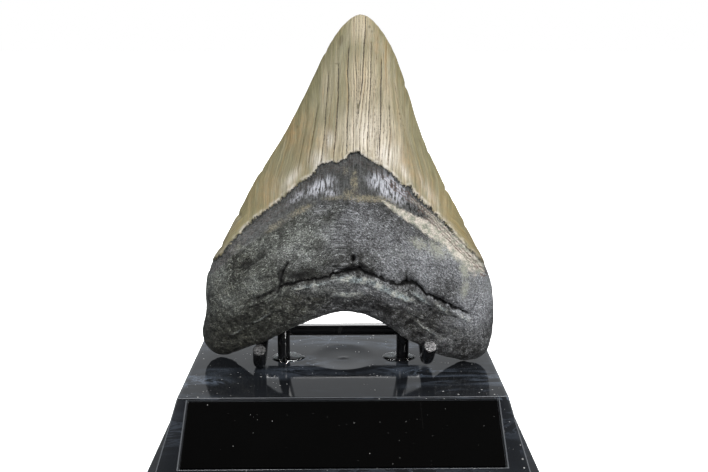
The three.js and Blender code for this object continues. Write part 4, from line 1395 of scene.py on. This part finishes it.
class FOSSIL_OT_glue(bpy.types.Operator):
    """Models the hardened glue round the feet of the back wires"""
    bl_idname = "fossil.glue"
    bl_label = "Glue"

    def execute(self, context):
        stand = context.scene.fossil_stand
        material, sheet, shader = new_material("Clear glue")
        cloud = sheet.grain(sheet.object_place(), 0.004, 3.0, 0.5)
        sheet.fill(shader, {
            "Base Color": sheet.mix(cloud, stand.glue_dull, stand.glue_clear),
            "Roughness": sheet.rise(cloud, 0.35, 0.7, 0.03, 0.12), "IOR": 1.47,
            "Transmission Weight": 1.0, "Normal": sheet.bump(cloud, 0.4, 0.4 * MM),
        })
        for hand, side in (("left", -1), ("right", 1)):
            piece = self.bead(stand, f"{hand}_glue", side)
            finish_piece(piece, material, "clear_glue", f"{hand}_glue_bead")
        return {"FINISHED"}

    def next_ring(self, middle, rise, growth):
        """Draws a new ring of edges from the selected one, higher by a rise and wider by a factor."""
        bpy.ops.mesh.extrude_edges_move(TRANSFORM_OT_translate={"value": (0, 0, rise * MM)})
        bpy.ops.transform.resize(value=(growth, growth, 1), center_override=middle)

    def bead(self, stand, name, side):
        """A low puddle that climbs the wire a little, wider across than deep."""
        middle = on_base(side * stand.post_across, stand.post_depth, 0)
        inner, top = GLUE_RINGS[0]
        outer, bottom = GLUE_RINGS[-1]
        start_clean()
        bpy.ops.mesh.primitive_circle_add(
            vertices=56, radius=inner * MM, location=middle + Vector((0, 0, top * MM)))
        piece = name_active(name)
        bpy.ops.object.mode_set(mode="EDIT")
        bpy.ops.mesh.select_all(action="SELECT")
        for (last, last_height), (radius, height) in zip(GLUE_RINGS[:-1], GLUE_RINGS[1:]):
            self.next_ring(middle, height - last_height, radius / last)
        self.next_ring(middle, 0, inner / outer)
        self.next_ring(middle, top - bottom, 1)
        weld(outwards=True)
        for vertex in piece.data.vertices:
            away = vertex.co - middle
            flat = math.hypot(away.x, away.y)
            free = max(0.0, (flat / MM - WIRE_HOLD) / FREE_RUN)
            swell = 1.0 + free * (0.22 * noise.noise(Vector((away.x, away.y, side)) * 260.0) - 0.06)
            vertex.co.x = middle.x + away.x * swell + free * GLUE_DRIFT[side] * MM
            vertex.co.y = middle.y + away.y * swell * (1.0 - 0.22 * free)
        shade(piece, 40)
        return piece


# The studio

WHITE = (1.0, 1.0, 1.0)
# Soft boxes: name, place, width and height, power and tint
SOFT_BOXES = [
    ("Key", (0.50, -0.62, 0.85), (0.4, 0.4), 11.0, (1.0, 0.985, 0.96)),
    ("Strip", (0.55, -0.75, 0.30), (0.03, 0.5), 3.2, WHITE),
    ("Edge", (0.0, 0.34, 0.86), (0.9, 0.45), 8.0, WHITE),
    ("Fill", (-0.70, -0.60, 0.75), (0.4, 0.4), 6.0, WHITE),
    ("Back", (0.0, 0.75, 1.0), (0.4, 0.4), 6.0, WHITE),
]
# Where they all point
LIT_MIDDLE = (0.0, 0.0, 0.08)


def soft_light(name, place, size, power, tint):
    """A rectangular soft box that faces the display."""
    data = bpy.data.lights.new(name, "AREA")
    data.shape = "RECTANGLE"
    data.size, data.size_y = size
    data.energy = power
    data.color = tint
    lamp = bpy.data.objects.new(name, data)
    bpy.context.collection.objects.link(lamp)
    lamp.location = place
    lamp.rotation_euler = (Vector(LIT_MIDDLE) - Vector(place)).to_track_quat("-Z", "Y").to_euler()


class FOSSIL_OT_stage(bpy.types.Operator):
    """Sets up the pale floor, the soft light and the camera"""
    bl_idname = "fossil.stage"
    bl_label = "Stage"

    def execute(self, context):
        stage = context.scene.fossil_stage
        self.floor(stage)
        self.light(stage)
        self.camera(context, stage)
        context.scene.view_settings.view_transform = "Standard"
        return {"FINISHED"}

    def floor(self, stage):
        """A pale floor, darker where polished surfaces mirror it."""
        start_clean()
        bpy.ops.mesh.primitive_plane_add(size=16.0)
        floor = name_active("studio_floor")
        material, sheet, shader = new_material("Pale floor")
        mottle = sheet.grain(sheet.object_place(), 0.4, 3.0)
        tone = sheet.rise(mottle, 0.2, 0.8, 0.97, 1.0)
        path = sheet.add("ShaderNodeLightPath").outputs
        paint = sheet.mix(1.0, grey(sheet, tone), stage.floor_tone, "MULTIPLY")
        bounce = sheet.mix(path["Is Glossy Ray"], stage.floor_bounce, stage.floor_mirrored)
        sheet.fill(shader, {
            "Base Color": sheet.mix(path["Is Camera Ray"], bounce, paint), "Roughness": 0.9,
            "Specular IOR Level": 0.0, "Emission Color": paint,
            "Emission Strength": sheet.times(path["Is Camera Ray"], stage.floor_glow),
        })
        floor.data.materials.append(material)

    def light(self, stage):
        """Light from all round, with a dimmer sky in mirrors, and the soft boxes."""
        world = bpy.data.worlds.new("Studio")
        bpy.context.scene.world = world
        world.use_nodes = True
        world.node_tree.nodes.clear()
        sheet = NodeSheet(world.node_tree)
        way = sheet.add("ShaderNodeTexCoord").outputs["Generated"]
        split = sheet.add("ShaderNodeSeparateXYZ", {"Vector": way}).outputs
        path = sheet.add("ShaderNodeLightPath").outputs
        behind = sheet.rise(split["Y"], -0.25, 0.35, 0.12, 1.0)
        mirrored = sheet.times(sheet.rise(split["Z"], 0.35, 0.5, 0.8, 0.42), behind)
        aside = sheet.rise(sheet.math("ABSOLUTE", split["X"]), 0.4, 0.85, 1.0, 0.15)
        mirrored = sheet.times(mirrored, aside)
        soft = sheet.rise(split["Z"], -0.2, 0.8, 0.22, 0.5)
        seen = sheet.add("ShaderNodeMix", {0: path["Is Glossy Ray"], 2: soft, 3: mirrored}).outputs[0]
        seen = sheet.add("ShaderNodeMix", {0: path["Is Camera Ray"], 2: seen, 3: 1.0}).outputs[0]
        tint = sheet.mix(path["Is Camera Ray"], stage.sky_tint, WHITE)
        glow = sheet.add("ShaderNodeBackground", {"Color": tint, "Strength": seen})
        sheet.add("ShaderNodeOutputWorld", {"Surface": glow.outputs[0]})
        for box in SOFT_BOXES:
            soft_light(*box)

    def camera(self, context, stage):
        """The camera in front of the display, looking slightly down."""
        data = bpy.data.cameras.new("Camera")
        data.sensor_width = 36.0
        data.lens = stage.lens
        data.clip_start = 0.01
        camera = bpy.data.objects.new("Camera", data)
        context.collection.objects.link(camera)
        camera.location = on_base(stage.camera_across, -stage.camera_distance, stage.camera_height)
        camera.rotation_euler = (math.pi / 2 - stage.camera_pitch, 0.0, -stage.camera_turn)
        context.scene.camera = camera


class FOSSIL_PT_panel(bpy.types.Panel):
    """Lists the pieces of the display"""
    bl_idname = "FOSSIL_PT_panel"
    bl_label = "Fossil Tooth Display"
    bl_space_type = "VIEW_3D"
    bl_region_type = "UI"
    bl_category = "Fossil"

    def draw(self, context):
        for step in STEPS:
            self.layout.operator(step.bl_idname)
        for group in (context.scene.fossil_tooth, context.scene.fossil_stand, context.scene.fossil_stage):
            box = self.layout.box()
            for name in group.__annotations__:
                box.prop(group, name)


SETTINGS = {"fossil_tooth": ToothSettings, "fossil_stand": StandSettings, "fossil_stage": StageSettings}
STEPS = (
    FOSSIL_OT_stage, FOSSIL_OT_base, FOSSIL_OT_nameplate, FOSSIL_OT_wires, FOSSIL_OT_glue,
    FOSSIL_OT_tooth)


def register():
    for name, group in SETTINGS.items():
        bpy.utils.register_class(group)
        setattr(bpy.types.Scene, name, PointerProperty(type=group))
    for kind in (*STEPS, FOSSIL_PT_panel):
        bpy.utils.register_class(kind)


def unregister():
    for kind in reversed((*STEPS, FOSSIL_PT_panel)):
        bpy.utils.unregister_class(kind)
    for name, group in SETTINGS.items():
        delattr(bpy.types.Scene, name)
        bpy.utils.unregister_class(group)


def main():
    register()
    for step in STEPS:
        family, name = step.bl_idname.split(".")
        getattr(getattr(bpy.ops, family), name)()
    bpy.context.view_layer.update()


if __name__ == "__main__":
    main()
